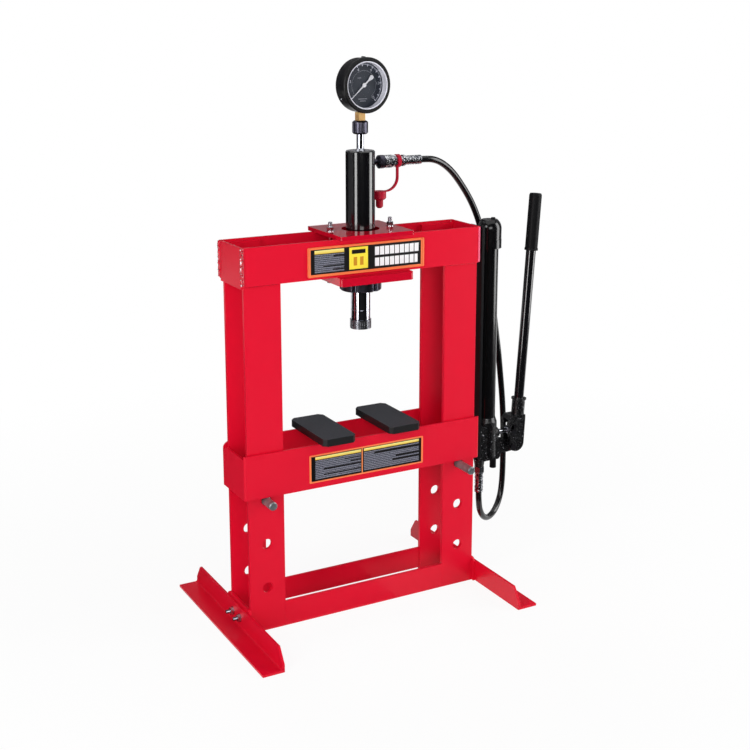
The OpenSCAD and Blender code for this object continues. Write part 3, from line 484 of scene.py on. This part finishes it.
red = enamel("red_enamel", rgb(226, 13, 46), rgb(206, 8, 38), roughness=0.29)
# pale pink enamel for the beam's front right corner: a painted highlight, the corner's
# strip of light painted into its colour
painted_highlight_red = enamel(
    "painted_highlight_enamel", rgb(240, 96, 130), rgb(226, 60, 96), roughness=0.3)
head_red = enamel(
    "head_enamel", rgb(206, 12, 42), rgb(168, 8, 34), roughness=0.06, coat=0.1,
    gloss=0.45)
# both weld paints carry painted glints, pale specks painted in as highlights; the last
# argument sets their share
weld_red = weld_paint("weld_enamel", rgb(120, 4, 24), glint_share=0.3)
weld_glinting = weld_paint("weld_glinting", rgb(70, 4, 16), glint_share=0.42)

black = gloss_black("gloss_black")
tank_black = gloss_black(
    "tank_black", roughness=0.17, coat=0.3, tint=(7, 7, 9), gloss=0.4)
satin_black = gloss_black(
    "satin_black", roughness=0.36, coat=0.0, tint=(10, 10, 14), gloss=0.22)
rim_black = gloss_black(
    "rim_black", roughness=0.3, coat=0.1, tint=(6, 6, 8), gloss=0.3)
casting = cast_paint("cast_black")
plate_black = phosphate("blackened_plate", ARBOR_TOP)

zinc = plated("zinc", rgb(240, 242, 246), rgb(150, 154, 164), roughness=0.14)
dark_zinc = plated(
    "dark_zinc", rgb(206, 204, 214), rgb(84, 80, 92), roughness=0.12)
bright_zinc = crimped("crimped_zinc")
bright_steel = plated(
    "bright_steel", rgb(226, 228, 236), rgb(160, 162, 172), roughness=0.04)
dark_steel = plated(
    "dark_steel", rgb(104, 102, 116), rgb(52, 50, 60), roughness=0.24)
turned_steel = plated(
    "turned_steel", rgb(176, 178, 184), rgb(104, 106, 114), roughness=0.2)
pin_steel = turned_pin("pin_steel")
chrome = ground_rod("chrome")
brass = plated(
    "brass", rgb(255, 228, 152), rgb(222, 140, 84), roughness=0.24, scale=105.0,
    metallic=0.55)

hose_black = rubber(
    "hose_rubber", rgb(7, 7, 9), roughness=0.12, scale=800.0, bumps=0.12, gloss=0.6)
grip_black = rubber(
    "grip_rubber", rgb(6, 6, 8), roughness=0.4, scale=700.0, bumps=0.35, gloss=0.13)
seal_black = rubber("seal_rubber", rgb(16, 16, 16), roughness=0.5, scale=900.0)
cap_red = moulded_red("moulded_red")

glass = clear_glass("gauge_glass")
dial_face = dial_print("dial_face")
ring_grey = pale_paint(
    "ring_grey", rgb(236, 236, 246), rgb(208, 208, 220), roughness=0.35)
print_white = pale_paint(
    "print_white", rgb(252, 252, 255), rgb(236, 236, 246), roughness=0.4)
figure_grey = pale_paint(
    "figure_grey", rgb(232, 234, 246), rgb(208, 210, 224), roughness=0.45)

RED_PLATES = """
    upright_front_left upright_front_right upright_back_left upright_back_right
    beam_side_plates beam_end_plates base_side_plates base_end_plates
    foot_left foot_right bed_side_plates bed_end_plates"""
HEAD_PLATES = "head_top_plate head_bottom_plate"
ARBOR_PLATES = "arbor_plate_left arbor_plate_right"
CASTINGS = "pump_casting handle_fork"

COATS = {
    red: RED_PLATES,
    head_red: HEAD_PLATES,
    black: "ram_barrel handle_pipe",
    tank_black: "reservoir_tube reservoir_cap",
    satin_black: """plunger_gland filler_plug release_knob gauge_plug gauge_case
        pump_bracket plunger_pin fulcrum_pin""",
    rim_black: "gauge_bezel",
    casting: CASTINGS,
    plate_black: ARBOR_PLATES,
    zinc: "foot_fasteners tie_fasteners bracket_bolts hose_nut",
    bright_steel: "gauge_adapter",
    bright_zinc: "hose_ferrule_ram hose_ferrule_pump coupler_half coupler_sleeve",
    dark_steel: "ring_nut ram_gland coupler_nipple gauge_nut saddle_screw",
    pin_steel: "bed_pin_left bed_pin_right",
    turned_steel: "saddle return_spring",
    chrome: "piston_rod plunger",
    brass: "gauge_stem",
    glass: "gauge_lens",
    dial_face: "gauge_dial",
    ring_grey: "dial_ring",
    print_white: "gauge_needle",
    cap_red: "dust_cap",
    hose_black: "hose",
    grip_black: "handle_grip",
    seal_black: "piston_seal",
}


def coat_nodes():
    """Gives every node its finish."""
    for material, names in COATS.items():
        for name in names.split():
            for place in nodes[name].material_slots:
                place.material = material


coat_nodes()


# ---- edges of the metal pieces ----

EASED = {
    0.4 * MM: f"{RED_PLATES} {HEAD_PLATES} pump_bracket",
    1.1 * MM: ARBOR_PLATES,
    0.8 * MM: CASTINGS,
    0.35 * MM: """ring_nut tie_fasteners foot_fasteners bracket_bolts coupler_half
        hose_nut gauge_stem""",
}


def ease_edges(node, width):
    """Rolls the sharp edges of a node over by a small radius."""
    weld = node.modifiers.new("weld", "WELD")
    weld.merge_threshold = 0.01 * MM
    bevel = node.modifiers.new("bevel", "BEVEL")
    bevel.width = width
    bevel.segments = 2
    bevel.limit_method = "ANGLE"
    bevel.angle_limit = math.radians(35)
    normals = node.modifiers.new("normals", "WEIGHTED_NORMAL")
    normals.keep_sharp = True


for width, names in EASED.items():
    for name in names.split():
        ease_edges(nodes[name], width)


# ---- hose ----

# From the ram's coupler over to the pump, down behind it and up into its nut, in
# millimetres. X counts from the frame's middle.
HOSE_ROUTE = [
    [151.5, 0, 913.5], [163, 0, 913.5], [180, 1, 912.5], [198, 4, 907],
    [217, 9, 897], [239, 14, 880], [260, 20, 858], [279, 26, 836],
    [296, 32, 814], [311, 37, 790], [324, 42, 765], [335, 46, 738],
    [345, 49, 710], [353, 52, 680], [361, 54, 645], [367, 55, 610],
    [373, 56, 575], [379, 57, 540], [385, 58, 505], [391, 58, 470],
    [396, 59, 435], [401, 60, 400], [405, 60, 365], [408, 60, 330],
    [410, 60, 295], [411, 60, 260], [411, 60, 225], [411, 60, 190],
    [409, 59, 160], [404, 56, 136], [393, 50, 116], [377, 41, 103],
    [358, 30, 98], [339, 19, 102], [323, 9, 115], [312, 3, 134],
    [308, 0, 154], [307, 0, 166], [307, 0, 177],
]
HOSE_RADIUS = 6.75 * MM


def lay_hose():
    """The pressure hose, one smooth curve along its route."""
    route = [Vector((x + FRAME_X, y, z)) * MM for x, y, z in HOSE_ROUTE]
    data = bpy.data.curves.new("pressure_hose", "CURVE")
    data.dimensions = "3D"
    data.bevel_depth = HOSE_RADIUS
    data.bevel_resolution = 6
    data.resolution_u = 6
    data.use_fill_caps = True
    spline = data.splines.new("NURBS")
    spline.points.add(len(route) - 1)
    for point, place in zip(spline.points, route):
        point.co = (*place, 1)
    spline.order_u = 3
    spline.use_endpoint_u = True
    hose = bpy.data.objects.new("pressure_hose", data)
    bpy.context.collection.objects.link(hose)
    data.materials.append(hose_black)
    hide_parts("hose")
    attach(hose, "frame")


lay_hose()


# ---- modelling by hand ----

def begin(kind, **settings):
    """A new primitive, alone in the selection."""
    bpy.ops.object.select_all(action="DESELECT")
    getattr(bpy.ops.mesh, f"primitive_{kind}_add")(**settings)
    return bpy.context.active_object


def sized(piece, size):
    """Gives a new primitive its size, in its mesh."""
    piece.scale = size
    bpy.ops.object.transform_apply(location=False, rotation=False, scale=True)
    return piece


def begin_block(low, high):
    """A new block between two corners."""
    return sized(begin("cube", size=1, location=(low + high) / 2), high - low)


def begin_ring(start, way, radius, vertices):
    """A new filled ring across a way, selected in edit mode, to be drawn out."""
    ring = begin(
        "circle", vertices=vertices, radius=radius, fill_type="NGON",
        location=start, rotation=way.to_track_quat("Z", "Y").to_euler())
    bpy.ops.object.transform_apply(location=False, rotation=True, scale=False)
    bpy.ops.object.mode_set(mode="EDIT")
    bpy.ops.mesh.select_all(action="SELECT")
    return ring


def cleared(piece):
    """The piece's mesh, out of edit mode and with nothing selected."""
    bpy.ops.object.mode_set(mode="OBJECT")
    mesh = piece.data
    for group in (mesh.vertices, mesh.edges, mesh.polygons):
        group.foreach_set("select", [False] * len(group))
    return mesh


def pick_faces(piece, test):
    """Selects in edit mode the faces that pass a test on their middle and normal."""
    for face in cleared(piece).polygons:
        face.select = test(piece.matrix_world @ face.center, face.normal)
    bpy.ops.object.mode_set(mode="EDIT")
    bpy.ops.mesh.select_mode(type="FACE")


def pick_edges(piece, test):
    """Selects in edit mode the edges that pass a test on their two ends."""
    mesh = cleared(piece)
    for edge in mesh.edges:
        a, b = (piece.matrix_world @ mesh.vertices[end].co for end in edge.vertices)
        edge.select = test(a, b)
    bpy.ops.object.mode_set(mode="EDIT")
    bpy.ops.mesh.select_mode(type="EDGE")


def pull(way):
    """Extrudes what is selected along a way."""
    bpy.ops.mesh.extrude_region_move(TRANSFORM_OT_translate={"value": way})


def resize(x, y, z):
    """Scales what is selected about its middle."""
    bpy.ops.transform.resize(value=(x, y, z))


def outwards():
    """Turns the faces of the piece in edit mode outwards, then leaves edit mode."""
    bpy.ops.mesh.select_all(action="SELECT")
    bpy.ops.mesh.normals_make_consistent(inside=False)
    bpy.ops.object.mode_set(mode="OBJECT")


def choose(*pieces):
    """Selects these pieces alone, with the first of them active."""
    bpy.ops.object.select_all(action="DESELECT")
    for piece in pieces:
        piece.select_set(True)
    bpy.context.view_layer.objects.active = pieces[0]


def settle(piece, name, material, body, smooth=None):
    """Names and paints a finished piece, puts its place into its mesh and hangs it
    on its body."""
    choose(piece)
    bpy.ops.object.transform_apply(location=True, rotation=True, scale=True)
    if smooth is not None:
        bpy.ops.object.shade_smooth_by_angle(angle=math.radians(smooth))
    piece.name = name
    piece.data.name = name
    piece.data.materials.clear()
    piece.data.materials.append(material)
    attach(piece, body)
    return piece


# ---- printed sheets on beam and bed ----

BEAM_FIELDS = [
    (0.058, 0.305, 0.12, 0.74, "lines"),
    (0.058, 0.305, 0.765, 0.885, "straw"),
    (0.215, 0.305, 0.645, 0.685, "dark"),
    (0.13, 0.305, 0.315, 0.36, "dark"),
    (0.21, 0.305, 0.185, 0.235, "dark"),
    (0.348, 0.508, 0.14, 0.885, "yellow"),
    (0.37, 0.487, 0.66, 0.8, "dark"),
    (0.385, 0.415, 0.26, 0.55, "ochre"),
    (0.44, 0.47, 0.26, 0.55, "ochre"),
    (0.562, 0.955, 0.545, 0.835, "blocks"),
    (0.562, 0.945, 0.165, 0.455, "blocks"),
]
BED_FIELDS = [
    (0.05, 0.443, 0.10, 0.79, "lines"),
    (0.05, 0.443, 0.815, 0.915, "straw"),
    (0.30, 0.443, 0.655, 0.70, "dark"),
    (0.12, 0.443, 0.415, 0.47, "dark"),
    (0.35, 0.443, 0.54, 0.59, "dark"),
    (0.12, 0.443, 0.22, 0.27, "dark"),
    (0.448, 0.458, 0.03, 0.97, "orange"),
    (0.468, 0.962, 0.10, 0.79, "lines"),
    (0.468, 0.962, 0.825, 0.92, "straw"),
    (0.56, 0.962, 0.655, 0.735, "dark"),
    (0.75, 0.962, 0.43, 0.50, "dark"),
    (0.72, 0.962, 0.30, 0.37, "dark"),
]
FILM = 0.25 * MM


def lay_sheet(name, body, plate, half_width, bottom, top, border, fields):
    """A thin film with rounded corners, stuck on the front of a plate."""
    low = Vector((BEAM.x - half_width, plate.y - FILM, plate.z + bottom))
    high = Vector((BEAM.x + half_width, plate.y, plate.z + top))
    sheet = begin_block(low, high)
    pick_edges(sheet, lambda a, b: abs(a.y - b.y) > FILM / 2)
    bpy.ops.mesh.bevel(offset=2.4 * MM, segments=5, affect="EDGES")
    pick_faces(sheet, lambda middle, normal: normal.y < -0.9)
    bpy.ops.mesh.inset(thickness=0.3 * MM, depth=0.05 * MM)
    outwards()
    ink = printed_sheet(name + "_print", low, high, border, fields)
    settle(sheet, name, ink, body)


lay_sheet(
    "beam_sheet", "frame", BEAM_LOW, half_width=128.5 * MM, bottom=5 * MM,
    top=63 * MM, border=(0.026, 0.082), fields=BEAM_FIELDS)
lay_sheet(
    "bed_sheet", "bed", BED_LOW, half_width=130 * MM, bottom=11.5 * MM,
    top=69.5 * MM, border=(0.016, 0.055), fields=BED_FIELDS)


# ---- dial figures ----

FIGURES = ("0", "3", "6", "9", "12", "15")


def dial_figures():
    """Raised figures round the dial."""
    radius, proud = 32 * MM, 0.6 * MM
    front = DIAL - GAUGE_FACING @ Vector((0, proud, 0))
    made = []
    for step, figure in enumerate(FIGURES):
        angle = NEEDLE_ZERO + SCALE_SWEEP * step / (len(FIGURES) - 1)
        place = Vector((math.sin(angle), 0, math.cos(angle))) * radius
        bpy.ops.object.select_all(action="DESELECT")
        bpy.ops.object.text_add(
            location=front + GAUGE_FACING @ place, rotation=GAUGE_UPRIGHT)
        text = bpy.context.active_object
        text.data.body = figure
        text.data.size = 7.4 * MM
        text.data.extrude = 0.1 * MM
        text.data.resolution_u = 3
        text.data.align_x = "CENTER"
        text.data.align_y = "CENTER"
        bpy.ops.object.convert(target="MESH")
        made.append(bpy.context.active_object)
    choose(*made)
    bpy.ops.object.join()
    settle(made[0], "dial_figures", figure_grey, "frame")


dial_figures()


# ---- weld beads ----

def weld_bead(name, start, end, radius, paint=weld_red, ripple=4.2 * MM):
    """A bead of overlapping ripples from start to end, drawn out of one ring. The
    sines keep any two ripples from being alike."""
    start = Vector(start)
    way = Vector(end) - start
    count = max(2, round(way.length / ripple))
    step = way / (count * 3)
    bead = begin_ring(start, way, radius * 0.8, vertices=10)
    for index in range(count):
        swell = 1.3 + 0.12 * math.sin(index * 2.3)
        drift = Vector((math.sin(index * 1.7), math.cos(index * 2.9), 0)) * 0.1 * radius
        for grow, side in ((swell, 1), (1, 0), (1 / swell, -1)):
            pull(step + drift * side)
            resize(grow, grow, grow)
    outwards()
    round_off = bead.modifiers.new("round_off", "SUBSURF")
    round_off.levels = round_off.render_levels = 1
    bpy.ops.object.modifier_apply(modifier="round_off")
    settle(bead, name, paint, "frame", smooth=80)


def corner_bead(name, x, y, low, radius, paint):
    """A bead up a corner of the beam, from a little above its lower edge."""
    bottom, top = BEAM_LOW.z + low, BEAM_HIGH.z - low + MM
    weld_bead(name, (x, y, bottom), (x, y, top), radius, paint)


def weld_all():
    """Beads at the beam's corners, and where the uprights meet it from below."""
    outer, inner = 0.6 * MM, 5.5 * MM
    left, right = BEAM_LOW.x + outer, BEAM_HIGH.x - inner
    front, back = BEAM_LOW.y, BEAM_HIGH.y
    corner_bead(
        "beam_weld_front_left", left, front + outer, 2 * MM, 3.9 * MM, weld_glinting)
    corner_bead("beam_weld_back_left", left, back - outer, 2 * MM, 3.9 * MM, weld_red)
    corner_bead(
        "beam_weld_back_right", right, back - inner, 3 * MM, 2.6 * MM, weld_glinting)
    margin, height = 3 * MM, BEAM_LOW.z - 0.4 * MM
    for bar in ("front_left", "front_right", "back_left", "back_right"):
        low, high, _ = span("upright_" + bar)
        face = low.y if bar.startswith("front") else high.y
        weld_bead(
            "under_weld_" + bar, (low.x + margin, face, height),
            (high.x - margin, face, height), 1.7 * MM, ripple=5.5 * MM)


weld_all()


def ground_corner():
    """The beam's front right corner, welded and ground to a slant, and painted pale
    pink as a painted highlight.
    """
    low = Vector((BEAM_HIGH.x - 6 * MM, BEAM_LOW.y, BEAM_LOW.z + MM))
    high = Vector((BEAM_HIGH.x + 0.2 * MM, BEAM_LOW.y + 4 * MM, BEAM_HIGH.z - MM))
    corner = begin_block(low, high)

    def in_front(a, b):
        return max(a.y, b.y) < low.y + MM

    pick_edges(corner, lambda a, b: in_front(a, b) and max(a.x, b.x) < low.x + MM)
    bpy.ops.transform.translate(value=(0.6 * MM, -1.3 * MM, 0))
    bpy.ops.mesh.bevel(offset=0.5 * MM, segments=2, affect="EDGES")
    pick_edges(corner, lambda a, b: in_front(a, b) and min(a.x, b.x) > high.x - MM)
    bpy.ops.transform.translate(value=(0, 0.9 * MM, 0))
    bpy.ops.mesh.bevel(offset=1.2 * MM, segments=4, affect="EDGES")
    outwards()
    settle(corner, "beam_corner_right", painted_highlight_red, "frame", smooth=40)


ground_corner()


# ---- threaded ends of the bolts ----

def threaded_end(name, start, way, radius):
    """A short threaded end with a chamfered tip, drawn out of one ring."""
    pitch, root = 1.25 * MM, 0.86
    way = Vector(way)
    count = round(way.length / pitch)
    step = way / (count * 2)
    end = begin_ring(Vector(start), way, radius * root, vertices=20)
    for grow in (1 / root, root) * count:
        pull(step)
        resize(grow, grow, grow)
    pull(step)
    resize(0.8, 0.8, 0.8)
    outwards()
    return settle(end, name, dark_zinc, "frame")


def copied(piece, name, move, half_turn=False):
    """A copy with its own mesh, turned half round the frame's middle where asked,
    and moved."""
    choose(piece)
    bpy.ops.object.duplicate(linked=False)
    twin = bpy.context.active_object
    if half_turn:
        twin.rotation_euler.z = math.pi
        twin.location.x = 2 * FRAME_X * MM
    twin.location += Vector(move)
    settle(twin, name, piece.data.materials[0], "frame")


def thread_bolts():
    """Threads on the foot bolts, which point outwards, and on the tie bolts."""
    low, _, middle = span("foot_fasteners")
    gap = 36 * MM
    start = (low.x + MM, -gap / 2, middle.z)
    first = threaded_end("foot_thread_left_front", start, (-9 * MM, 0, 0), 4.1 * MM)
    copied(first, "foot_thread_left_back", (0, gap, 0))
    copied(first, "foot_thread_right_back", (0, 0, 0), half_turn=True)
    copied(first, "foot_thread_right_front", (0, -gap, 0), half_turn=True)
    _, high, middle = span("tie_fasteners")
    reach = 67 * MM
    start = (middle.x - reach, middle.y, high.z - 9.4 * MM)
    first = threaded_end("tie_thread_left", start, (0, 0, 8.8 * MM), 4.3 * MM)
    copied(first, "tie_thread_right", (2 * reach, 0, 0))


thread_bolts()


# ---- rings, needle and case screw of the gauge ----

def in_gauge(depth):
    """A point on the gauge's axis, at a depth behind its middle. In front of it the
    depth is below nothing."""
    middle = Vector((RAM.x, RAM.y, DIAL.z))
    return middle + GAUGE_FACING @ Vector((0, depth, 0))


def lens_ring():
    """The bright lip that holds the glass in its rim, its pale paint a painted
    highlight of the rim's inner edge.
    """
    ring = begin(
        "torus", major_radius=44.8 * MM, minor_radius=1.3 * MM, major_segments=96,
        minor_segments=12, location=in_gauge(-26 * MM), rotation=GAUGE_UPRIGHT)
    bpy.ops.object.mode_set(mode="EDIT")
    bpy.ops.mesh.select_all(action="SELECT")
    resize(1, 0.7, 1)
    outwards()
    settle(ring, "lens_ring", ring_grey, "frame", smooth=60)


def dial_wall():
    """A light ring that narrows from the glass to the dial."""
    front, back = -22.4 * MM, -13.6 * MM
    ends = in_gauge(front), in_gauge(back)
    wall = begin(
        "cylinder", vertices=96, radius=48.6 * MM, depth=back - front,
        end_fill_type="NGON", location=in_gauge((front + back) / 2),
        rotation=GAUGE_UPRIGHT)
    for side, rim in ((1, 2.6 * MM), (-1, 5.1 * MM)):
        pick_faces(wall, lambda middle, normal: normal.z * side > 0.9)
        bpy.ops.mesh.inset(thickness=rim)
    pick_faces(
        wall, lambda middle, normal: any((middle - end).length < MM for end in ends))
    bpy.ops.mesh.bridge_edge_loops()
    outwards()
    settle(wall, "dial_wall", ring_grey, "frame", smooth=40)
    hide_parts("dial_ring")


def needle_hand():
    """The needle: a round hub, a slim point and a tail that widens. It is drawn
    pointing up."""
    hand = begin(
        "cylinder", vertices=16, radius=4.3 * MM, depth=MM, end_fill_type="NGON",
        rotation=(math.radians(90), 0, 0))
    bpy.ops.object.transform_apply(location=False, rotation=True, scale=False)
    point = ((1.5, 0.8), (33.5, 0.34), (1.0, 0.5))
    tail = ((1.5, 0.75), (7.0, 1.1), (10.0, 3.2), (3.0, 0.7))
    for side, steps in ((1, point), (-1, tail)):
        pick_faces(hand, lambda middle, normal: normal.z * side > 0.9)
        for reach, width in steps:
            pull((0, 0, side * reach * MM))
            resize(width, 1, 1)
    pick_faces(
        hand, lambda middle, normal: normal.y < -0.9 and middle.length < 0.7 * MM)
    bpy.ops.mesh.inset(thickness=1.4 * MM, depth=0.7 * MM)
    outwards()
    hand.location = in_gauge(-15.4 * MM)
    hand.rotation_euler = (0, NEEDLE_ZERO, GAUGE_TURN)
    settle(hand, "needle_hand", print_white, "needle", smooth=30)
    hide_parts("gauge_needle")


def case_screw():
    """A small round-headed screw low on the side of the gauge's case."""
    below = math.radians(30)
    side = GAUGE_FACING @ Vector((-math.cos(below), 0, -math.sin(below)))
    screw = begin(
        "cylinder", vertices=24, radius=2.4 * MM, depth=2.4 * MM,
        location=in_gauge(-4 * MM) + side * 52 * MM,
        rotation=side.to_track_quat("Z", "Y").to_euler())
    pick_faces(screw, lambda middle, normal: normal.z > 0.9)
    bpy.ops.mesh.bevel(offset=0.7 * MM, segments=3, affect="EDGES")
    pick_faces(screw, lambda middle, normal: normal.z > 0.99)
    bpy.ops.mesh.inset(thickness=0.8 * MM)
    bpy.ops.mesh.inset(thickness=0.1 * MM, depth=-0.5 * MM)
    outwards()
    settle(screw, "case_screw", zinc, "frame", smooth=40)


lens_ring()
dial_wall()
needle_hand()
case_screw()


# ---- floor and light ----

def meets_white(tree):
    """One for the rays that should meet the white background."""
    path = tree.nodes.new("ShaderNodeLightPath")
    rays = ("Is Camera Ray", "Is Glossy Ray", "Is Transmission Ray")
    return sum(Value(tree, path.outputs[ray]) for ray in rays).clamped()


def lay_floor():
    """A pale floor that keeps the shadow, and turns pure white far away."""
    pale_within, fade_length, near_share = 0.5, 1.2, 0.92
    floor = begin("plane", size=16)
    floor.name = "floor"
    finish = Finish("floor_white")
    x, y, _ = finish.axes(finish.place())
    far = (((x * x + y * y) ** 0.5 - pale_within) / fade_length).clamped()
    matte = finish.add("BsdfDiffuse", None, {"Color": (0.94, 0.94, 0.94, 1)})
    glow = finish.add("Emission", None, {"Color": (1, 1, 1, 1), "Strength": 1.0})
    share = meets_white(finish.tree) * (far * (1 - near_share) + near_share)
    both = finish.add("MixShader", None, {0: share, 1: matte, 2: glow})
    floor.data.materials.append(finish.end_in(both))


def cloth_colour(name, level):
    """Matt grey cloth, a trace bluer than plain."""
    finish = Finish(name)
    grey = (level, level, level * 1.05, 1)
    return finish.end_in(finish.add("BsdfDiffuse", None, {"Color": grey}))


def hang_cloth():
    """A tent of dark cloth round the object, open above and pale high at the back,
    with more of it on the floor at the left. Only gloss shows it."""
    near, far, height = -0.24, 3.4, 4.8
    pale_from, by_the_wall = 1.0, 3.0
    rise = Vector((0, 0, height))
    cloth = sized(
        begin("plane", size=1, location=(0, (near - far) / 2, 0.004)),
        (2 * far, near + far, 1))

    def on_floor(a, b):
        return max(a.z, b.z) < 0.1

    def at_side(a, b, side):
        return min(a.x * side, b.x * side) > by_the_wall

    def at_near_edge(a, b):
        return on_floor(a, b) and abs(a.y - near) + abs(b.y - near) < 0.01

    pick_edges(cloth, lambda a, b: max(a.y, b.y) < -by_the_wall)
    pull(rise)
    for side in (-1, 1):
        pick_edges(cloth, lambda a, b: at_side(a, b, side) and on_floor(a, b))
        pull(rise)
        pick_edges(cloth, lambda a, b: at_side(a, b, side) and min(a.y, b.y) > -1)
        pull((0, far - near, 0))
    pick_edges(
        cloth, lambda a, b: at_side(a, b, 1) and min(a.y, b.y) > by_the_wall)
    pull((-2 * far, 0, 0))
    pick_faces(cloth, lambda middle, normal: middle.y > by_the_wall)
    bpy.ops.mesh.bisect(plane_co=(0, 0, pale_from), plane_no=(0, 0, 1))
    pick_edges(cloth, at_near_edge)
    bpy.ops.mesh.subdivide(number_cuts=1)
    pick_edges(cloth, lambda a, b: at_near_edge(a, b) and a.x + b.x < -1)
    pull((0, 2.6, 0))
    bpy.ops.object.mode_set(mode="OBJECT")
    cloth.name = "cloth_tent"
    cloth.data.materials.append(cloth_colour("dark_cloth", 0.02))
    cloth.data.materials.append(cloth_colour("pale_cloth", 0.6))
    for face in cloth.data.polygons:
        high_at_back = face.center.y > by_the_wall and face.center.z > pale_from
        face.material_index = int(high_at_back)
    cloth.visible_camera = False
    cloth.visible_diffuse = False
    cloth.visible_shadow = False


def light_world():
    """White where it is seen, and a weak plain light all round."""
    plain = 0.1
    world = bpy.data.worlds.new("studio")
    bpy.context.scene.world = world
    world.use_nodes = True
    tree = world.node_tree
    background = tree.nodes["Background"]
    background.inputs["Color"].default_value = (1, 1, 1, 1)
    level = meets_white(tree) * (1 - plain) + plain
    tree.links.new(level.socket, background.inputs["Strength"])


def softbox(name, place, aim_height, size, power, mirrored=True):
    """A flat soft lamp, aimed at a height in the press. Gloss shows it only where
    it is mirrored."""
    data = bpy.data.lights.new(name, "AREA")
    data.shape = "RECTANGLE"
    data.size, data.size_y = size
    data.energy = power
    lamp = bpy.data.objects.new(name, data)
    lamp.visible_glossy = mirrored
    lamp.location = place
    way = Vector((0, 0, aim_height)) - Vector(place)
    lamp.rotation_euler = way.to_track_quat("-Z", "Y").to_euler()
    bpy.context.collection.objects.link(lamp)


lay_floor()
hang_cloth()
light_world()
softbox("strip_left", (-1.95, -0.98, 1.1), aim_height=0.8, size=(0.65, 2.1), power=29)
softbox("strip_right", (1.83, -1.0, 1.1), aim_height=0.8, size=(1.0, 2.1), power=34)
softbox("softbox_front", (-0.9, -2.9, 1.35), aim_height=0.6, size=(1.6, 0.9), power=20)
softbox(
    "softbox_top", (0, -0.2, 2.9), aim_height=0.8, size=(1.8, 1.8), power=12,
    mirrored=False)
softbox(
    "softbox_back", (0.3, 2.9, 1.7), aim_height=0.6, size=(1.6, 1.0), power=30,
    mirrored=False)
bpy.context.scene.view_settings.view_transform = "Standard"
